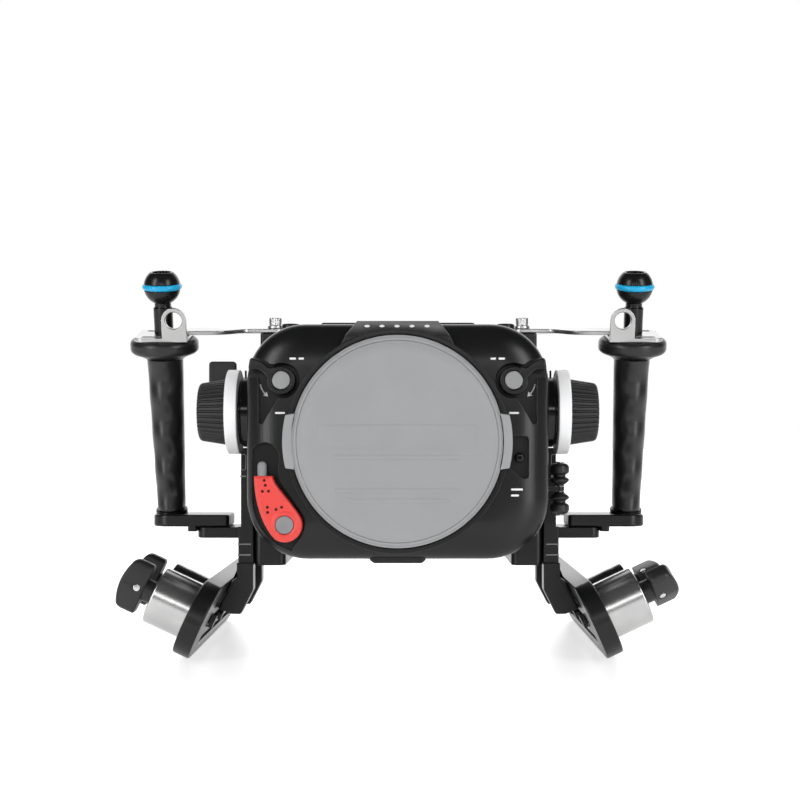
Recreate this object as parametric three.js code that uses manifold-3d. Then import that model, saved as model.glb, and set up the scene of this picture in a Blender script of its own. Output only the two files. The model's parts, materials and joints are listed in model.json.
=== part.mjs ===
// Underwater camera housing with handles and weight rails, in millimetres, +Z up.
// X is across the housing, Y runs from the front to the rear, and the weight rails stand on Z = 0.
// While the pieces are made, Y = 0 is the front face of the front shell; the whole is centred at the end.
import * as THREE from 'three';
import * as BufferGeometryUtils from 'three/addons/utils/BufferGeometryUtils.js';
import { ConvexGeometry } from 'three/addons/geometries/ConvexGeometry.js';
import Module from 'manifold-3d';

const wasm = await Module();
wasm.setup();

const degree = Math.PI / 180;
const quarter = Math.PI / 2;

// Clearances shared by all pieces
const seat = 0.3;
const overrun = 2;

// Numbers of sides and steps
const sides = { fine: 32, round: 18, small: 12, tiny: 8, corner: 5, arc: 2, edge: 5, tube: 6 };

// The port opening, its ring, the cap on it and the raised collar round the cap
const port = {
  rise: 76.8,
  boreRadius: 60,
  neckWall: 2,
  flangeWidth: 4,
  flangeFront: -11,
  grooveDepth: 1.6,
  grooveWidth: 3,
};
port.neckRadius = port.boreRadius + port.neckWall;
port.flangeRadius = port.neckRadius + port.flangeWidth;
const cap = {
  wall: 2,
  bevel: 7.5,
  bevelDepth: 4.5,
  thickness: 3,
  skirtRear: -1,
  tabHalfHeight: 17,
  tabOverhang: 1.2,
  tabGap: 0.6,
};
cap.radius = port.flangeRadius + cap.wall;
cap.flatRadius = cap.radius - cap.bevel;
cap.front = port.flangeFront - cap.thickness;
cap.shoulder = cap.front + cap.bevelDepth;
const collar = { clearance: 1.2, width: 3, front: -2.6 };
collar.inner = cap.radius + collar.clearance;
collar.outer = collar.inner + collar.width;
cap.tabReach = collar.outer + cap.tabOverhang;
cap.tabRear = collar.front - cap.tabGap;

// The case: a rounded box in two shells that part across Y
const shell = {
  cheek: 26.3,
  bottom: 68,
  top: 221.5,
  lowerRadius: 40,
  upperRadius: 38.3,
  frontInset: 28,
  frontRound: 16,
  rearRound: 9,
  frontWall: 14,
  wall: 7,
  parting: 75,
  rear: 205,
};
shell.halfWidth = collar.outer + shell.cheek;
port.height = shell.bottom + port.rise;
const rearShellFront = shell.parting + seat;

// The flat deck on top of the case, the hood over the port in front of it and the pad under the case
const deck = { margin: 10.2, rise: 2, front: 28, rearGap: 21, chamfer: 3, depth: 13.5 };
deck.halfWidth = shell.halfWidth - shell.upperRadius - deck.margin;
deck.height = shell.top + deck.rise;
deck.rear = shell.rear - deck.rearGap;
deck.root = deck.height - deck.depth;
const hood = {
  topHalfWidth: 26.6,
  topFront: 14,
  browHalfWidth: 34,
  browFront: -1.2,
  browDrop: 10.5,
  lowHalfWidth: 41,
  lowFront: -2.4,
  lowDrop: 24.5,
  depth: 33.5,
};
const pad = { halfWidth: 18.5, front: 12, rearGap: 29, drop: 2.7, depth: 8.7 };
pad.height = shell.bottom - pad.drop;
pad.rear = shell.rear - pad.rearGap;

// The two rotary latches, one on each side of the port, placed about the port's axis
const latch = {
  angle: 27.8 * degree,
  land: 0.95,
  radius: 9.1,
  front: -3.4,
  recessRadius: 11.3,
  recessFloor: 10,
  armFront: -4.6,
  armRear: 0.3,
  shaftRadius: 3.6,
  camRadius: 7,
  camThickness: 3,
  buttonRadius: 5.8,
  buttonFront: -4,
  buttonRear: -0.4,
  buttonTravel: 2,
  stemRadius: 1.5,
  stemLength: 8,
};
const latchDistance = collar.outer + latch.recessRadius + latch.land;
latch.x = latchDistance * Math.cos(latch.angle);
latch.z = port.height + latchDistance * Math.sin(latch.angle);

// The outline of the latch's arm, which widens towards the case's edge, and the recesses beside the latch,
// all from the latch's centre: out along X, up along Z
const armOutline = [
  [0, 0], [8.6, 1.6], [11.4, 5], [14.9, 7.2], [21, 6.3],
  [19.8, 15], [12.5, 12.2], [10.2, 10.4], [7.9, 8.1], [4.2, 9],
];
const arrowRecess = {
  outer: 15.3,
  rise: 6.6,
  drop: 27.9,
  tip: 13.7,
  heel: 11,
  heelDrop: 25.6,
  inner: 3.6,
  innerDrop: 12.1,
};
const armRecess = { inner: 5.3, innerRise: 10.4, knee: 17.3, kneeRise: 16.4, outer: 29.3, lowRise: 2.8 };

// The lens release button to the right of the collar, and its recess from the button's centre
const release = {
  land: 6.4,
  drop: 10.4,
  radius: 3.2,
  front: 0.9,
  rear: 3.2,
  domeShare: 0.55,
  stemRadius: 1.5,
  stemReach: 3,
  floor: 6,
  inner: 8.1,
  outer: 6,
  above: 14,
  below: 13.6,
  corner: 3,
  slopeOut: 1.4,
  slopeDrop: 5,
};
release.x = collar.outer + release.land;
release.z = port.height - release.drop;

// The red port lever to the lower left of the collar, with its grey tip and round button
const lever = {
  angle: 36.45 * degree,
  land: 5.1,
  radius: 11.2,
  length: 31.3,
  topOuter: 19.7,
  topInner: 8.1,
  front: -5,
  rear: 4.4,
  edge: 1.6,
  startAngle: -125 * degree,
  endAngle: 30 * degree,
  shaftRadius: 3.6,
  camRadius: 7,
  camThickness: 3,
  bossRadius: 8,
  buttonRadius: 5.8,
  buttonFront: -5.8,
  buttonRear: -2.2,
  buttonTravel: 2,
  stemRadius: 1.5,
  stemLength: 8,
  tipX: -14.7,
  tipRadius: 2.9,
  tipReach: 9.4,
  tipRoot: 7,
  tipY: -0.4,
};

// The lever's recess, from its pivot
const leverRecess = {
  floor: 10.5,
  rim: 4.2,
  topX: -13.7,
  topRise: 43.1,
  topRadius: 9.8,
  pivotRadius: 12.6,
  waistX: -4.9,
  waistRise: 29.6,
  hipX: 11.7,
  hipRise: 5.6,
  hipDrop: 6.4,
  toeX: 3.3,
  toeDrop: 17.4,
};
const leverDistance = collar.outer + leverRecess.pivotRadius + lever.land;
lever.x = -leverDistance * Math.cos(lever.angle);
lever.z = port.height - leverDistance * Math.sin(lever.angle);

// The focus knobs on both sides, along X from the case's flank
const knob = {
  setback: 30,
  rise: 19.7,
  glandRadius: 23.6,
  glandLength: 7,
  bossMargin: 1,
  neckRadius: 9,
  neckReach: 2.5,
  shaftRadius: 4,
  shaftReach: 7.5,
  forkRadius: 7,
  forkThickness: 3,
  ringRadius: 28.4,
  ringLength: 8.2,
  ringChamfer: 0.8,
  hubRadius: 9.7,
  gripLength: 19,
  innerRadius: 22.3,
  outerRadius: 19.2,
  crown: 2.4,
  ridges: 30,
  ridgeDepth: 1.1,
};
const innerFlank = shell.halfWidth - shell.wall;
knob.y = shell.parting - knob.setback;
knob.z = port.height + knob.rise;
knob.glandInner = shell.halfWidth + seat;
knob.glandOuter = knob.glandInner + knob.glandLength;
knob.ringInner = knob.glandOuter + seat;
knob.ringOuter = knob.ringInner + knob.ringLength;
knob.gripInner = knob.ringOuter + seat;
knob.gripOuter = knob.gripInner + knob.gripLength;
knob.neckInner = innerFlank - knob.neckReach;
knob.shaftInner = innerFlank - knob.shaftReach;

// The thumb lever behind the left knob
const thumb = {
  setback: 17,
  rise: 20.2,
  hubRadius: 8.5,
  hubLength: 11.2,
  shaftRadius: 3.6,
  forkRadius: 6.5,
  forkThickness: 3,
  armThickness: 8.5,
  armWidth: 9,
  paddleOverlap: 6,
  paddleWidth: 29.2,
  paddleRise: 15,
  paddleHeight: 20.7,
  shelfWidth: 11.5,
  shelfHeight: 9.5,
  paddleLead: 9,
  paddleThickness: 5,
  paddleCorner: 2.5,
};
thumb.y = shell.parting + thumb.setback;
thumb.z = port.height + thumb.rise;
thumb.hubInner = shell.halfWidth + seat;
thumb.hubOuter = thumb.hubInner + thumb.hubLength;
thumb.paddleInner = thumb.hubOuter - thumb.paddleOverlap;
thumb.paddleBottom = thumb.z + thumb.paddleRise;
thumb.paddleFront = thumb.y - thumb.paddleLead;
thumb.paddleRear = thumb.paddleFront + thumb.paddleThickness;

// The two finger levers on the right flank and their spindle
const finger = {
  reach: 10.5,
  drop: 49.1,
  length: 34.3,
  pinRadius: 2,
  headRadius: 3.2,
  headHeight: 0.8,
  lobeRadius: 6.4,
  waistRadius: 4,
  hubRadius: 3.1,
  smallRadius: 6.6,
  lugThickness: 3,
  lugWidth: 6.2,
};
finger.x = shell.halfWidth + finger.reach;
finger.y = knob.y;
finger.bottom = port.height - finger.drop;
finger.top = finger.bottom + finger.length;
finger.middle = (finger.bottom + finger.top) / 2;

// The low blanking caps on the top shoulders
const bulkhead = {
  inset: 25.8,
  lead: 25,
  radius: 6.3,
  margin: 1.7,
  spotDepth: 2.6,
  height: 5.4,
  neck: 4.2,
  neckLength: 10.9,
};
bulkhead.x = shell.halfWidth - bulkhead.inset;
bulkhead.y = shell.parting - bulkhead.lead;
bulkhead.spot = shell.top - bulkhead.spotDepth;
bulkhead.top = bulkhead.spot + bulkhead.height;
bulkhead.neckEnd = bulkhead.spot - bulkhead.neckLength;

// The vacuum valve at the rear of the deck
const valve = {
  x: 30,
  lead: 34,
  radius: 9,
  height: 7.5,
  neckRadius: 6,
  neckLength: 12.5,
  capRadius: 6.5,
  capHeight: 4,
};
valve.y = deck.rear - valve.lead;
valve.top = deck.height + valve.height;
valve.neckEnd = deck.height - valve.neckLength;

// The seal in the parting face
const seal = { inset: 2.3, width: 2.4, depth: 2.1 };

// The rear window and its frame
const rearWindow = {
  halfHeight: 44,
  corner: 10,
  rebate: 6,
  thickness: 3.4,
  frameWidth: 13,
  frameLip: 2,
  frameThickness: 4,
};

// The record button between the window's frame and the flank
const rearButton = {
  inset: 12.5,
  side: 7,
  drop: 16.8,
  radius: 5,
  thickness: 3.2,
  gap: 2.6,
  stemRadius: 2,
  stemLength: 12,
};
rearButton.x = shell.halfWidth - rearButton.inset;
rearButton.z = port.height - rearButton.drop;
rearWindow.halfWidth = rearButton.x - rearButton.side - rearWindow.frameWidth;

// The tray that the camera is screwed to
const tray = {
  margin: 6.5,
  lead: 9,
  rearGap: 15,
  thickness: 4,
  lip: 4,
  lipHeight: 7,
  screwRadius: 6.5,
  screwHeight: 4,
  screwSetback: 51,
  slotHalfWidth: 22,
  slotSetback: 14,
  slotLength: 22,
};
tray.halfWidth = shell.halfWidth - shell.lowerRadius - tray.margin;
tray.front = shell.parting + tray.lead;

// The side rails, their legs and the base feet
const rail = {
  gap: 2.8,
  thickness: 10.7,
  relief: 1.8,
  setback: 3,
  length: 72,
  drop: 10.2,
  stepRise: 27.2,
  height: 82.2,
  windowMargin: 18,
  windowRise: 40.2,
  windowHeight: 30,
};
rail.inner = shell.halfWidth + rail.gap;
rail.outer = rail.inner + rail.thickness;
rail.front = shell.parting + rail.setback;
rail.rear = rail.front + rail.length;
rail.bottom = shell.bottom - rail.drop;
rail.windowBottom = rail.bottom + rail.windowRise;
const leg = {
  thickness: 14,
  lead: 5,
  rearLead: 9,
  swell: 0.8,
  shoulderDrop: 8.3,
  heelInset: 2.5,
  heelDrop: 33.5,
  innerDrop: 16.8,
};
leg.outer = rail.outer + leg.swell;
const foot = { width: 22.2, rise: 28, rearGap: 2, corner: 5 };

// The weight rails, tilted outwards, each with three long slots
const tilt = 25 * degree;
const weightRail = {
  spread: 27,
  width: 52,
  thickness: 12,
  front: 8,
  length: 242,
  endRadius: 25.7,
  slots: 3,
  slotHalfWidth: 3.3,
  slotMargin: 36,
  slotLow: 11,
  slotPitch: 14,
};
weightRail.x = rail.outer + weightRail.spread;
weightRail.rear = weightRail.front + weightRail.length;
const weight = { radius: 20, length: 29.2, edge: 1.6, lead: 49, gap: 4, bore: 3.4 };
weight.rise = weightRail.slotLow + weightRail.slotPitch;
weight.base = weightRail.thickness + seat;
weight.top = weight.base + weight.length;
weight.frontY = weightRail.front + weight.lead;
weight.rearY = weight.frontY + 2 * weight.radius + weight.gap;
const clamp = {
  neckRadius: 7.8,
  neckLength: 7.2,
  barRise: 13.5,
  crown: 4,
  barHalfLength: 18,
  barHalfWidth: 8.5,
  endHalfWidth: 5,
  barSteps: 6,
  rodRadius: 3,
  nutRadius: 5.4,
  nutThickness: 3,
};
clamp.neckBase = weight.top + seat;
clamp.barBase = clamp.neckBase + clamp.neckLength;
clamp.shoulderTop = clamp.barBase + clamp.barRise;
const clampAngles = { left_front: 0, left_rear: 0, right_front: 52, right_rear: -70 };

// The arms from the side rails, and the plates that the handles stand on
const arm = { length: 30.5, setback: 17, width: 36, rise: 8, thickness: 7.7, innerCorner: 1, corner: 6 };
arm.inner = rail.outer + seat;
arm.outer = arm.inner + arm.length;
arm.front = shell.parting + arm.setback;
arm.rear = arm.front + arm.width;
arm.bottom = shell.bottom + arm.rise;
arm.top = arm.bottom + arm.thickness;
const handlePlate = {
  innerGap: 8.1,
  overhang: 11.7,
  thickness: 8.5,
  corner: 12,
  innerCorner: 3,
  stepWidth: 6.5,
  stepDrop: 3.4,
};
handlePlate.bottom = arm.top + seat;
handlePlate.top = handlePlate.bottom + handlePlate.thickness;

// The handles
const grip = {
  spread: 20.7,
  lean: 14.5 * degree,
  collarRadius: 11.3,
  collarTop: 4,
  bottomHalfWidth: 9.8,
  topHalfWidth: 12.4,
  bottomHalfDepth: 14.5,
  topHalfDepth: 16.5,
  top: 114.8,
  grooves: 4,
  grooveDepth: 3,
  flangeRadius: 23.6,
  flangeDepth: 4,
  flangeFlare: 3.5,
  flangeBevel: 2,
  flangeThickness: 5.8,
  flangeEdge: 1.8,
  studBore: 3.3,
  studDepth: 8,
};
grip.x = arm.outer + grip.spread;
grip.y = (arm.front + arm.rear) / 2;
grip.flangeLow = grip.top + grip.flangeFlare;
grip.flangeBand = grip.flangeLow + grip.flangeBevel;
grip.flangeHigh = grip.flangeBand + grip.flangeThickness;
grip.flangeTop = grip.flangeHigh + grip.flangeBevel;

// The steel bracket on each handle, with its upright ear
const bracket = {
  thickness: 2.8,
  halfWidth: 18.5,
  halfDepth: 18,
  corner: 6,
  earWidth: 17.2,
  earRise: 12.4,
  holeRadius: 5.7,
  slotInner: 9.6,
  slotOuter: 14,
  slotHalfLength: 9,
};
bracket.base = grip.flangeTop + seat;
bracket.top = bracket.base + bracket.thickness;

// The ball mount and the ring let into its widest place
const ball = {
  radius: 12.7,
  rise: 33,
  flat: 10,
  boreRadius: 6.2,
  boreDepth: 9,
  stemRadius: 6.7,
  stemRise: 18.3,
  footRadius: 6.6,
  footRise: 6.3,
  neckRadius: 5.7,
  studRadius: 3,
  ringInset: 1.1,
  ringTube: 2.1,
};
ball.base = bracket.top + seat;
ball.height = ball.base + ball.rise;
ball.ringRadius = ball.radius - ball.ringInset;

// The steel straps from the brackets to the case, and their bolts
const strap = {
  thickness: 2.8,
  halfWidth: 7,
  boltInset: 10.5,
  boltSetback: 25,
  bossDrop: 0.3,
  bossHalfWidth: 10,
  bossHalfDepth: 9,
  bossDepth: 33.2,
  handleInset: 14.5,
  bendOuterReach: 22.6,
  bendInnerReach: 11.5,
  endReach: 7,
};
strap.boltX = shell.halfWidth - strap.boltInset;
strap.boltY = shell.parting + strap.boltSetback;
strap.bossTop = shell.top - strap.bossDrop;
strap.bossOuter = strap.boltX + strap.bossHalfWidth;
strap.handleX = grip.x - strap.handleInset;
strap.bendOuter = strap.bossOuter + strap.bendOuterReach;
strap.bendInner = strap.bossOuter + strap.bendInnerReach;
const strapBolt = {
  headRadius: 4.4,
  headHeight: 7.8,
  shankRadius: 3,
  shankLength: 14,
  rimHeight: 2.2,
  rimRadius: 5.6,
};

// Colours and finishes
const finishes = {
  anodised: { color: 0x1b1b1d, roughness: 0.45, metalness: 0.6 },
  blackPlastic: { color: 0x18181a, roughness: 0.5, metalness: 0 },
  rubber: { color: 0x141415, roughness: 0.75, metalness: 0 },
  capGrey: { color: 0xa6a7a9, roughness: 0.55, metalness: 0 },
  buttonGrey: { color: 0x979899, roughness: 0.5, metalness: 0 },
  red: { color: 0xf2433c, roughness: 0.45, metalness: 0 },
  white: { color: 0xf0f0f1, roughness: 0.5, metalness: 0 },
  blue: { color: 0x00a5ec, roughness: 0.4, metalness: 0 },
  steel: { color: 0xc9cacb, roughness: 0.28, metalness: 1 },
  clear: { color: 0xcfd8dc, roughness: 0.05, metalness: 0 },
};
for (const name of Object.keys(finishes)) {
  finishes[name] = new THREE.MeshStandardMaterial(finishes[name]);
}

// The geometry's volume, negative when its faces point in.
function signedVolume(positions, triangles) {
  const corner = [new THREE.Vector3(), new THREE.Vector3(), new THREE.Vector3()];
  let volume = 0;
  for (let i = 0; i < triangles.length; i += 3) {
    corner.forEach((point, k) => point.fromArray(positions, triangles[i + k] * 3));
    volume += corner[0].dot(corner[1].clone().cross(corner[2])) / 6;
  }
  return volume;
}

// A solid from a closed geometry, with its faces turned outwards and its slivers dropped.
function solid(geometry) {
  const bare = geometry.clone();
  bare.deleteAttribute('normal');
  bare.deleteAttribute('uv');
  const merged = BufferGeometryUtils.mergeVertices(bare);
  const index = merged.index.array;
  const triangles = [];
  for (let i = 0; i < index.length; i += 3) {
    const [a, b, c] = [index[i], index[i + 1], index[i + 2]];
    if (a !== b && b !== c && c !== a) {
      triangles.push(a, b, c);
    }
  }
  const positions = merged.attributes.position.array;
  if (signedVolume(positions, triangles) < 0) {
    triangles.reverse();
  }
  return new wasm.Manifold(new wasm.Mesh({
    numProp: 3,
    vertProperties: new Float32Array(positions),
    triVerts: new Uint32Array(triangles),
  }));
}

// A named mesh from a finished solid.
function piece(name, shape, finish) {
  const result = shape.getMesh();
  const geometry = new THREE.BufferGeometry();
  geometry.setAttribute('position', new THREE.BufferAttribute(result.vertProperties, 3));
  geometry.setIndex(new THREE.BufferAttribute(result.triVerts, 1));
  geometry.computeVertexNormals();
  const mesh = new THREE.Mesh(geometry, finish);
  mesh.name = name;
  return mesh;
}

function join(first, ...others) {
  return others.reduce((sum, other) => sum.add(other), first);
}

function cut(first, ...others) {
  return others.reduce((rest, other) => rest.subtract(other), first);
}

// A block between two values along each axis.
function block([x0, x1], [y0, y1], [z0, z1]) {
  const geometry = new THREE.BoxGeometry(x1 - x0, y1 - y0, z1 - z0);
  geometry.translate((x0 + x1) / 2, (y0 + y1) / 2, (z0 + z1) / 2);
  return solid(geometry);
}

// Turns a shape made along Y so that it runs along the named axis, and moves it to its place.
function along(axis, geometry, [x, y, z]) {
  if (axis === 'x') {
    geometry.rotateZ(-quarter);
  } else if (axis === 'z') {
    geometry.rotateX(quarter);
  }
  geometry.translate(x, y, z);
  return solid(geometry);
}

// A turned piece: its profile is a list of radius and place along the axis.
function turned(axis, profile, centre, count = sides.round) {
  const points = profile.map(([radius, place]) => new THREE.Vector2(radius, place));
  return along(axis, new THREE.LatheGeometry(points, count), centre);
}

// A round rod between two places along its axis.
function rod(axis, [from, to], radius, centre, count = sides.small) {
  return turned(axis, [[0, from], [radius, from], [radius, to], [0, to]], centre, count);
}

// A closed shape through points.
function outlineOf(points) {
  return new THREE.Shape(points.map(([a, b]) => new THREE.Vector2(a, b)));
}

function roundedRectangle([x0, x1], [y0, y1], radius, farRadius = radius) {
  const shape = new THREE.Shape();
  shape.moveTo(x0 + radius, y0);
  shape.lineTo(x1 - farRadius, y0);
  shape.absarc(x1 - farRadius, y0 + farRadius, farRadius, -quarter, 0);
  shape.absarc(x1 - farRadius, y1 - farRadius, farRadius, 0, quarter);
  shape.absarc(x0 + radius, y1 - radius, radius, quarter, 2 * quarter);
  shape.absarc(x0 + radius, y0 + radius, radius, 2 * quarter, 3 * quarter);
  return shape;
}

// An outline in X and Z carried along Y.
function slab(shape, [y0, y1]) {
  const geometry = new THREE.ExtrudeGeometry(
    shape,
    { depth: y1 - y0, bevelEnabled: false, curveSegments: sides.arc },
  );
  geometry.rotateX(quarter);
  geometry.translate(0, y1, 0);
  return solid(geometry);
}

// An outline in X and Y carried along Z.
function plate(shape, [z0, z1]) {
  const geometry = new THREE.ExtrudeGeometry(
    shape,
    { depth: z1 - z0, bevelEnabled: false, curveSegments: sides.arc },
  );
  geometry.translate(0, 0, z0);
  return solid(geometry);
}

// A closed skin over rings with equal numbers of points, each end closed by a fan.
function loft(rings) {
  const count = rings[0].length;
  const points = rings.flat();
  const total = (ring) => ring.reduce((sum, point) => sum.add(point), new THREE.Vector3());
  const middle = (ring) => total(ring).divideScalar(count);
  const firstCentre = points.push(middle(rings[0])) - 1;
  const lastCentre = points.push(middle(rings[rings.length - 1])) - 1;
  const lastRing = (rings.length - 1) * count;
  const index = [];
  for (let k = 0; k < count; k += 1) {
    const next = (k + 1) % count;
    for (let ring = 0; ring < rings.length - 1; ring += 1) {
      const low = ring * count;
      const high = low + count;
      index.push(low + k, low + next, high + next, low + k, high + next, high + k);
    }
    index.push(firstCentre, next, k, lastCentre, lastRing + k, lastRing + next);
  }
  const geometry = new THREE.BufferGeometry().setFromPoints(points);
  geometry.setIndex(index);
  return solid(geometry);
}

// The case's outline in X and Z, drawn in by an inset.
function caseOutline(inset) {
  const corners = [
    { side: 1, radius: shell.lowerRadius, centreZ: shell.bottom + shell.lowerRadius, start: -quarter },
    { side: 1, radius: shell.upperRadius, centreZ: shell.top - shell.upperRadius, start: 0 },
    { side: -1, radius: shell.upperRadius, centreZ: shell.top - shell.upperRadius, start: quarter },
    { side: -1, radius: shell.lowerRadius, centreZ: shell.bottom + shell.lowerRadius, start: 2 * quarter },
  ];
  return corners.flatMap(({ side, radius, centreZ, start }) => {
    const centreX = side * (shell.halfWidth - radius);
    return Array.from({ length: sides.corner + 1 }, (_, step) => {
      const angle = start + (quarter * step) / sides.corner;
      const reach = radius - inset;
      return [centreX + reach * Math.cos(angle), centreZ + reach * Math.sin(angle)];
    });
  });
}

function caseRing(inset, y) {
  return caseOutline(inset).map(([x, z]) => new THREE.Vector3(x, y, z));
}

// The rings of an edge rounded over an inset and a depth: from the face at `face` out to the full outline.
// A negative depth goes towards the front.
function edgeRings(inset, depth, face) {
  return Array.from({ length: sides.edge + 1 }, (_, step) => {
    const angle = (quarter * step) / sides.edge;
    return caseRing(inset * (1 - Math.sin(angle)), face + depth * (1 - Math.cos(angle)));
  });
}

function caseSlab(inset, range) {
  return slab(outlineOf(caseOutline(inset)), range);
}

// The flat deck on top of the case between two places along Y, with chamfered flanks.
function deckBlock([y0, y1]) {
  const flank = deck.halfWidth + deck.chamfer;
  const low = deck.height - deck.chamfer;
  const profile = [
    [-flank, deck.root], [flank, deck.root], [flank, low],
    [deck.halfWidth, deck.height], [-deck.halfWidth, deck.height], [-flank, low],
  ];
  return slab(outlineOf(profile), [y0, y1]);
}

function hoodBlock() {
  const low = deck.height - hood.lowDrop;
  const root = deck.height - hood.depth;
  const corners = [
    [hood.topHalfWidth, hood.topFront, deck.height],
    [hood.browHalfWidth, hood.browFront, deck.height - hood.browDrop],
    [hood.lowHalfWidth, hood.lowFront, low],
    [hood.lowHalfWidth, hood.lowFront, root],
    [hood.topHalfWidth, deck.front + overrun, deck.height],
    [hood.lowHalfWidth, deck.front + overrun, low],
    [hood.lowHalfWidth, deck.front + overrun, root],
  ];
  const points = corners.flatMap(([x, y, z]) => [new THREE.Vector3(x, y, z), new THREE.Vector3(-x, y, z)]);
  return solid(new ConvexGeometry(points));
}

// Cutters that sink the latch, with its triangular arrow field and the path of its arm, into the front face.
function latchRecess(side) {
  const range = [-shell.frontWall, latch.recessFloor];
  const from = (points) => outlineOf(points.map(([out, up]) => [side * (latch.x + out), latch.z + up]));
  const field = from([
    [arrowRecess.outer, arrowRecess.rise],
    [arrowRecess.outer, -arrowRecess.drop],
    [arrowRecess.tip, -arrowRecess.drop],
    [arrowRecess.heel, -arrowRecess.heelDrop],
    [arrowRecess.inner, -arrowRecess.innerDrop],
    [0, 0],
  ]);
  const path = from([
    [0, 0],
    [armRecess.inner, armRecess.innerRise],
    [armRecess.knee, armRecess.kneeRise],
    [armRecess.outer, armRecess.kneeRise],
    [armRecess.outer, armRecess.lowRise],
  ]);
  const round = rod('y', range, latch.recessRadius, [side * latch.x, 0, latch.z], sides.round);
  return join(round, slab(field, range), slab(path, range));
}

function releaseRecess() {
  const range = [-shell.frontWall, release.floor];
  const [left, right] = [release.x - release.inner, release.x + release.outer];
  const [low, high] = [release.z - release.below, release.z + release.above];
  const round = release.corner;
  const shape = new THREE.Shape();
  shape.moveTo(left, high);
  shape.lineTo(right - round, high);
  shape.absarc(right - round, high - round, round, quarter, 0, true);
  shape.absarc(right - round, low + round, round, 0, -quarter, true);
  shape.lineTo(release.x + release.slopeOut, low);
  shape.lineTo(left, release.z - release.slopeDrop);
  return cut(slab(shape, range), rod('y', range, collar.outer, [0, 0, port.height], sides.fine));
}

function portLeverRecess() {
  const range = [-shell.frontWall, leverRecess.floor];
  const topX = lever.x + leverRecess.topX;
  const topZ = lever.z + leverRecess.topRise;
  const toeX = lever.x + leverRecess.toeX;
  const hollow = outlineOf([
    [topX + leverRecess.topRadius, topZ],
    [lever.x + leverRecess.waistX, lever.z + leverRecess.waistRise],
    [lever.x + leverRecess.hipX, lever.z + leverRecess.hipRise],
    [lever.x + leverRecess.hipX, lever.z - leverRecess.hipDrop],
    [toeX, lever.z - leverRecess.toeDrop],
    [toeX, shell.bottom],
    [-shell.halfWidth, shell.bottom],
    [-shell.halfWidth, topZ],
  ]);
  const top = rod('y', range, leverRecess.topRadius, [topX, 0, topZ], sides.round);
  const round = rod('y', range, leverRecess.pivotRadius, [lever.x, 0, lever.z], sides.round);
  const inside = join(slab(hollow, range), top, round).intersect(caseSlab(leverRecess.rim, range));
  const boss = rod(
    'y',
    [lever.rear + seat, leverRecess.floor + overrun],
    lever.bossRadius,
    [lever.x, 0, lever.z],
  );
  return cut(inside, boss);
}

// The rib on the right flank that holds the spindle between the two finger levers.
function fingerLug() {
  const half = finger.lugWidth / 2;
  const height = [finger.middle - finger.lugThickness / 2, finger.middle + finger.lugThickness / 2];
  const arm = block([innerFlank, finger.x], [finger.y - half, finger.y + half], height);
  return join(arm, rod('z', height, half, [finger.x, finger.y, 0]));
}

function frontShell() {
  const outside = loft([...edgeRings(shell.frontInset, shell.frontRound, 0), caseRing(0, shell.parting)]);
  const cavity = caseSlab(shell.wall, [shell.frontWall, shell.parting + overrun]);
  const bore = rod(
    'y',
    [-overrun, shell.frontWall + overrun],
    port.neckRadius + seat,
    [0, 0, port.height],
    sides.fine,
  );
  const capRoom = rod('y', [-shell.frontRound, 0], collar.inner, [0, 0, port.height], sides.fine);
  const collarRing = rod(
    'y',
    [collar.front, shell.frontRound / 2],
    collar.outer,
    [0, 0, port.height],
    sides.fine,
  );
  const knobBosses = [-1, 1].map((side) => {
    const reach = [side * (shell.halfWidth - shell.wall / 2), side * shell.halfWidth].sort((a, b) => a - b);
    return rod('x', reach, knob.glandRadius + knob.bossMargin, [0, knob.y, knob.z], sides.round);
  });
  let shape = join(
    outside,
    hoodBlock(),
    deckBlock([deck.front, shell.parting]),
    block(
      [-pad.halfWidth, pad.halfWidth],
      [pad.front, shell.parting],
      [pad.height, pad.height + pad.depth],
    ),
    collarRing,
    ...knobBosses,
    fingerLug(),
  );
  shape = cut(shape, cavity, capRoom, bore, releaseRecess(), portLeverRecess());
  for (const side of [-1, 1]) {
    const knobBore = [side * (innerFlank - overrun), side * (shell.halfWidth + overrun)];
    knobBore.sort((a, b) => a - b);
    const capPlace = [side * bulkhead.x, bulkhead.y, 0];
    shape = cut(
      shape,
      latchRecess(side),
      rod('y', [0, shell.frontWall + overrun], latch.shaftRadius + seat, [side * latch.x, 0, latch.z]),
      rod('x', knobBore, knob.neckRadius + seat, [0, knob.y, knob.z]),
      rod('z', [bulkhead.spot, bulkhead.top], bulkhead.radius + bulkhead.margin, capPlace),
      rod('z', [bulkhead.neckEnd - overrun, bulkhead.top], bulkhead.neck + seat, capPlace),
    );
  }
  return cut(
    shape,
    rod(
      'y',
      [0, shell.frontWall + overrun],
      release.stemRadius + seat,
      [release.x, 0, release.z],
      sides.tiny,
    ),
    rod('y', [0, shell.frontWall + overrun], lever.shaftRadius + seat, [lever.x, 0, lever.z]),
    rod(
      'z',
      [finger.bottom, finger.top],
      finger.pinRadius + seat,
      [finger.x, finger.y, 0],
      sides.tiny,
    ),
  );
}

function windowOutline(margin) {
  const halfWidth = rearWindow.halfWidth + margin;
  const halfHeight = rearWindow.halfHeight + margin;
  const middle = port.height;
  return roundedRectangle(
    [-halfWidth, halfWidth],
    [middle - halfHeight, middle + halfHeight],
    rearWindow.corner + margin,
  );
}

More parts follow.
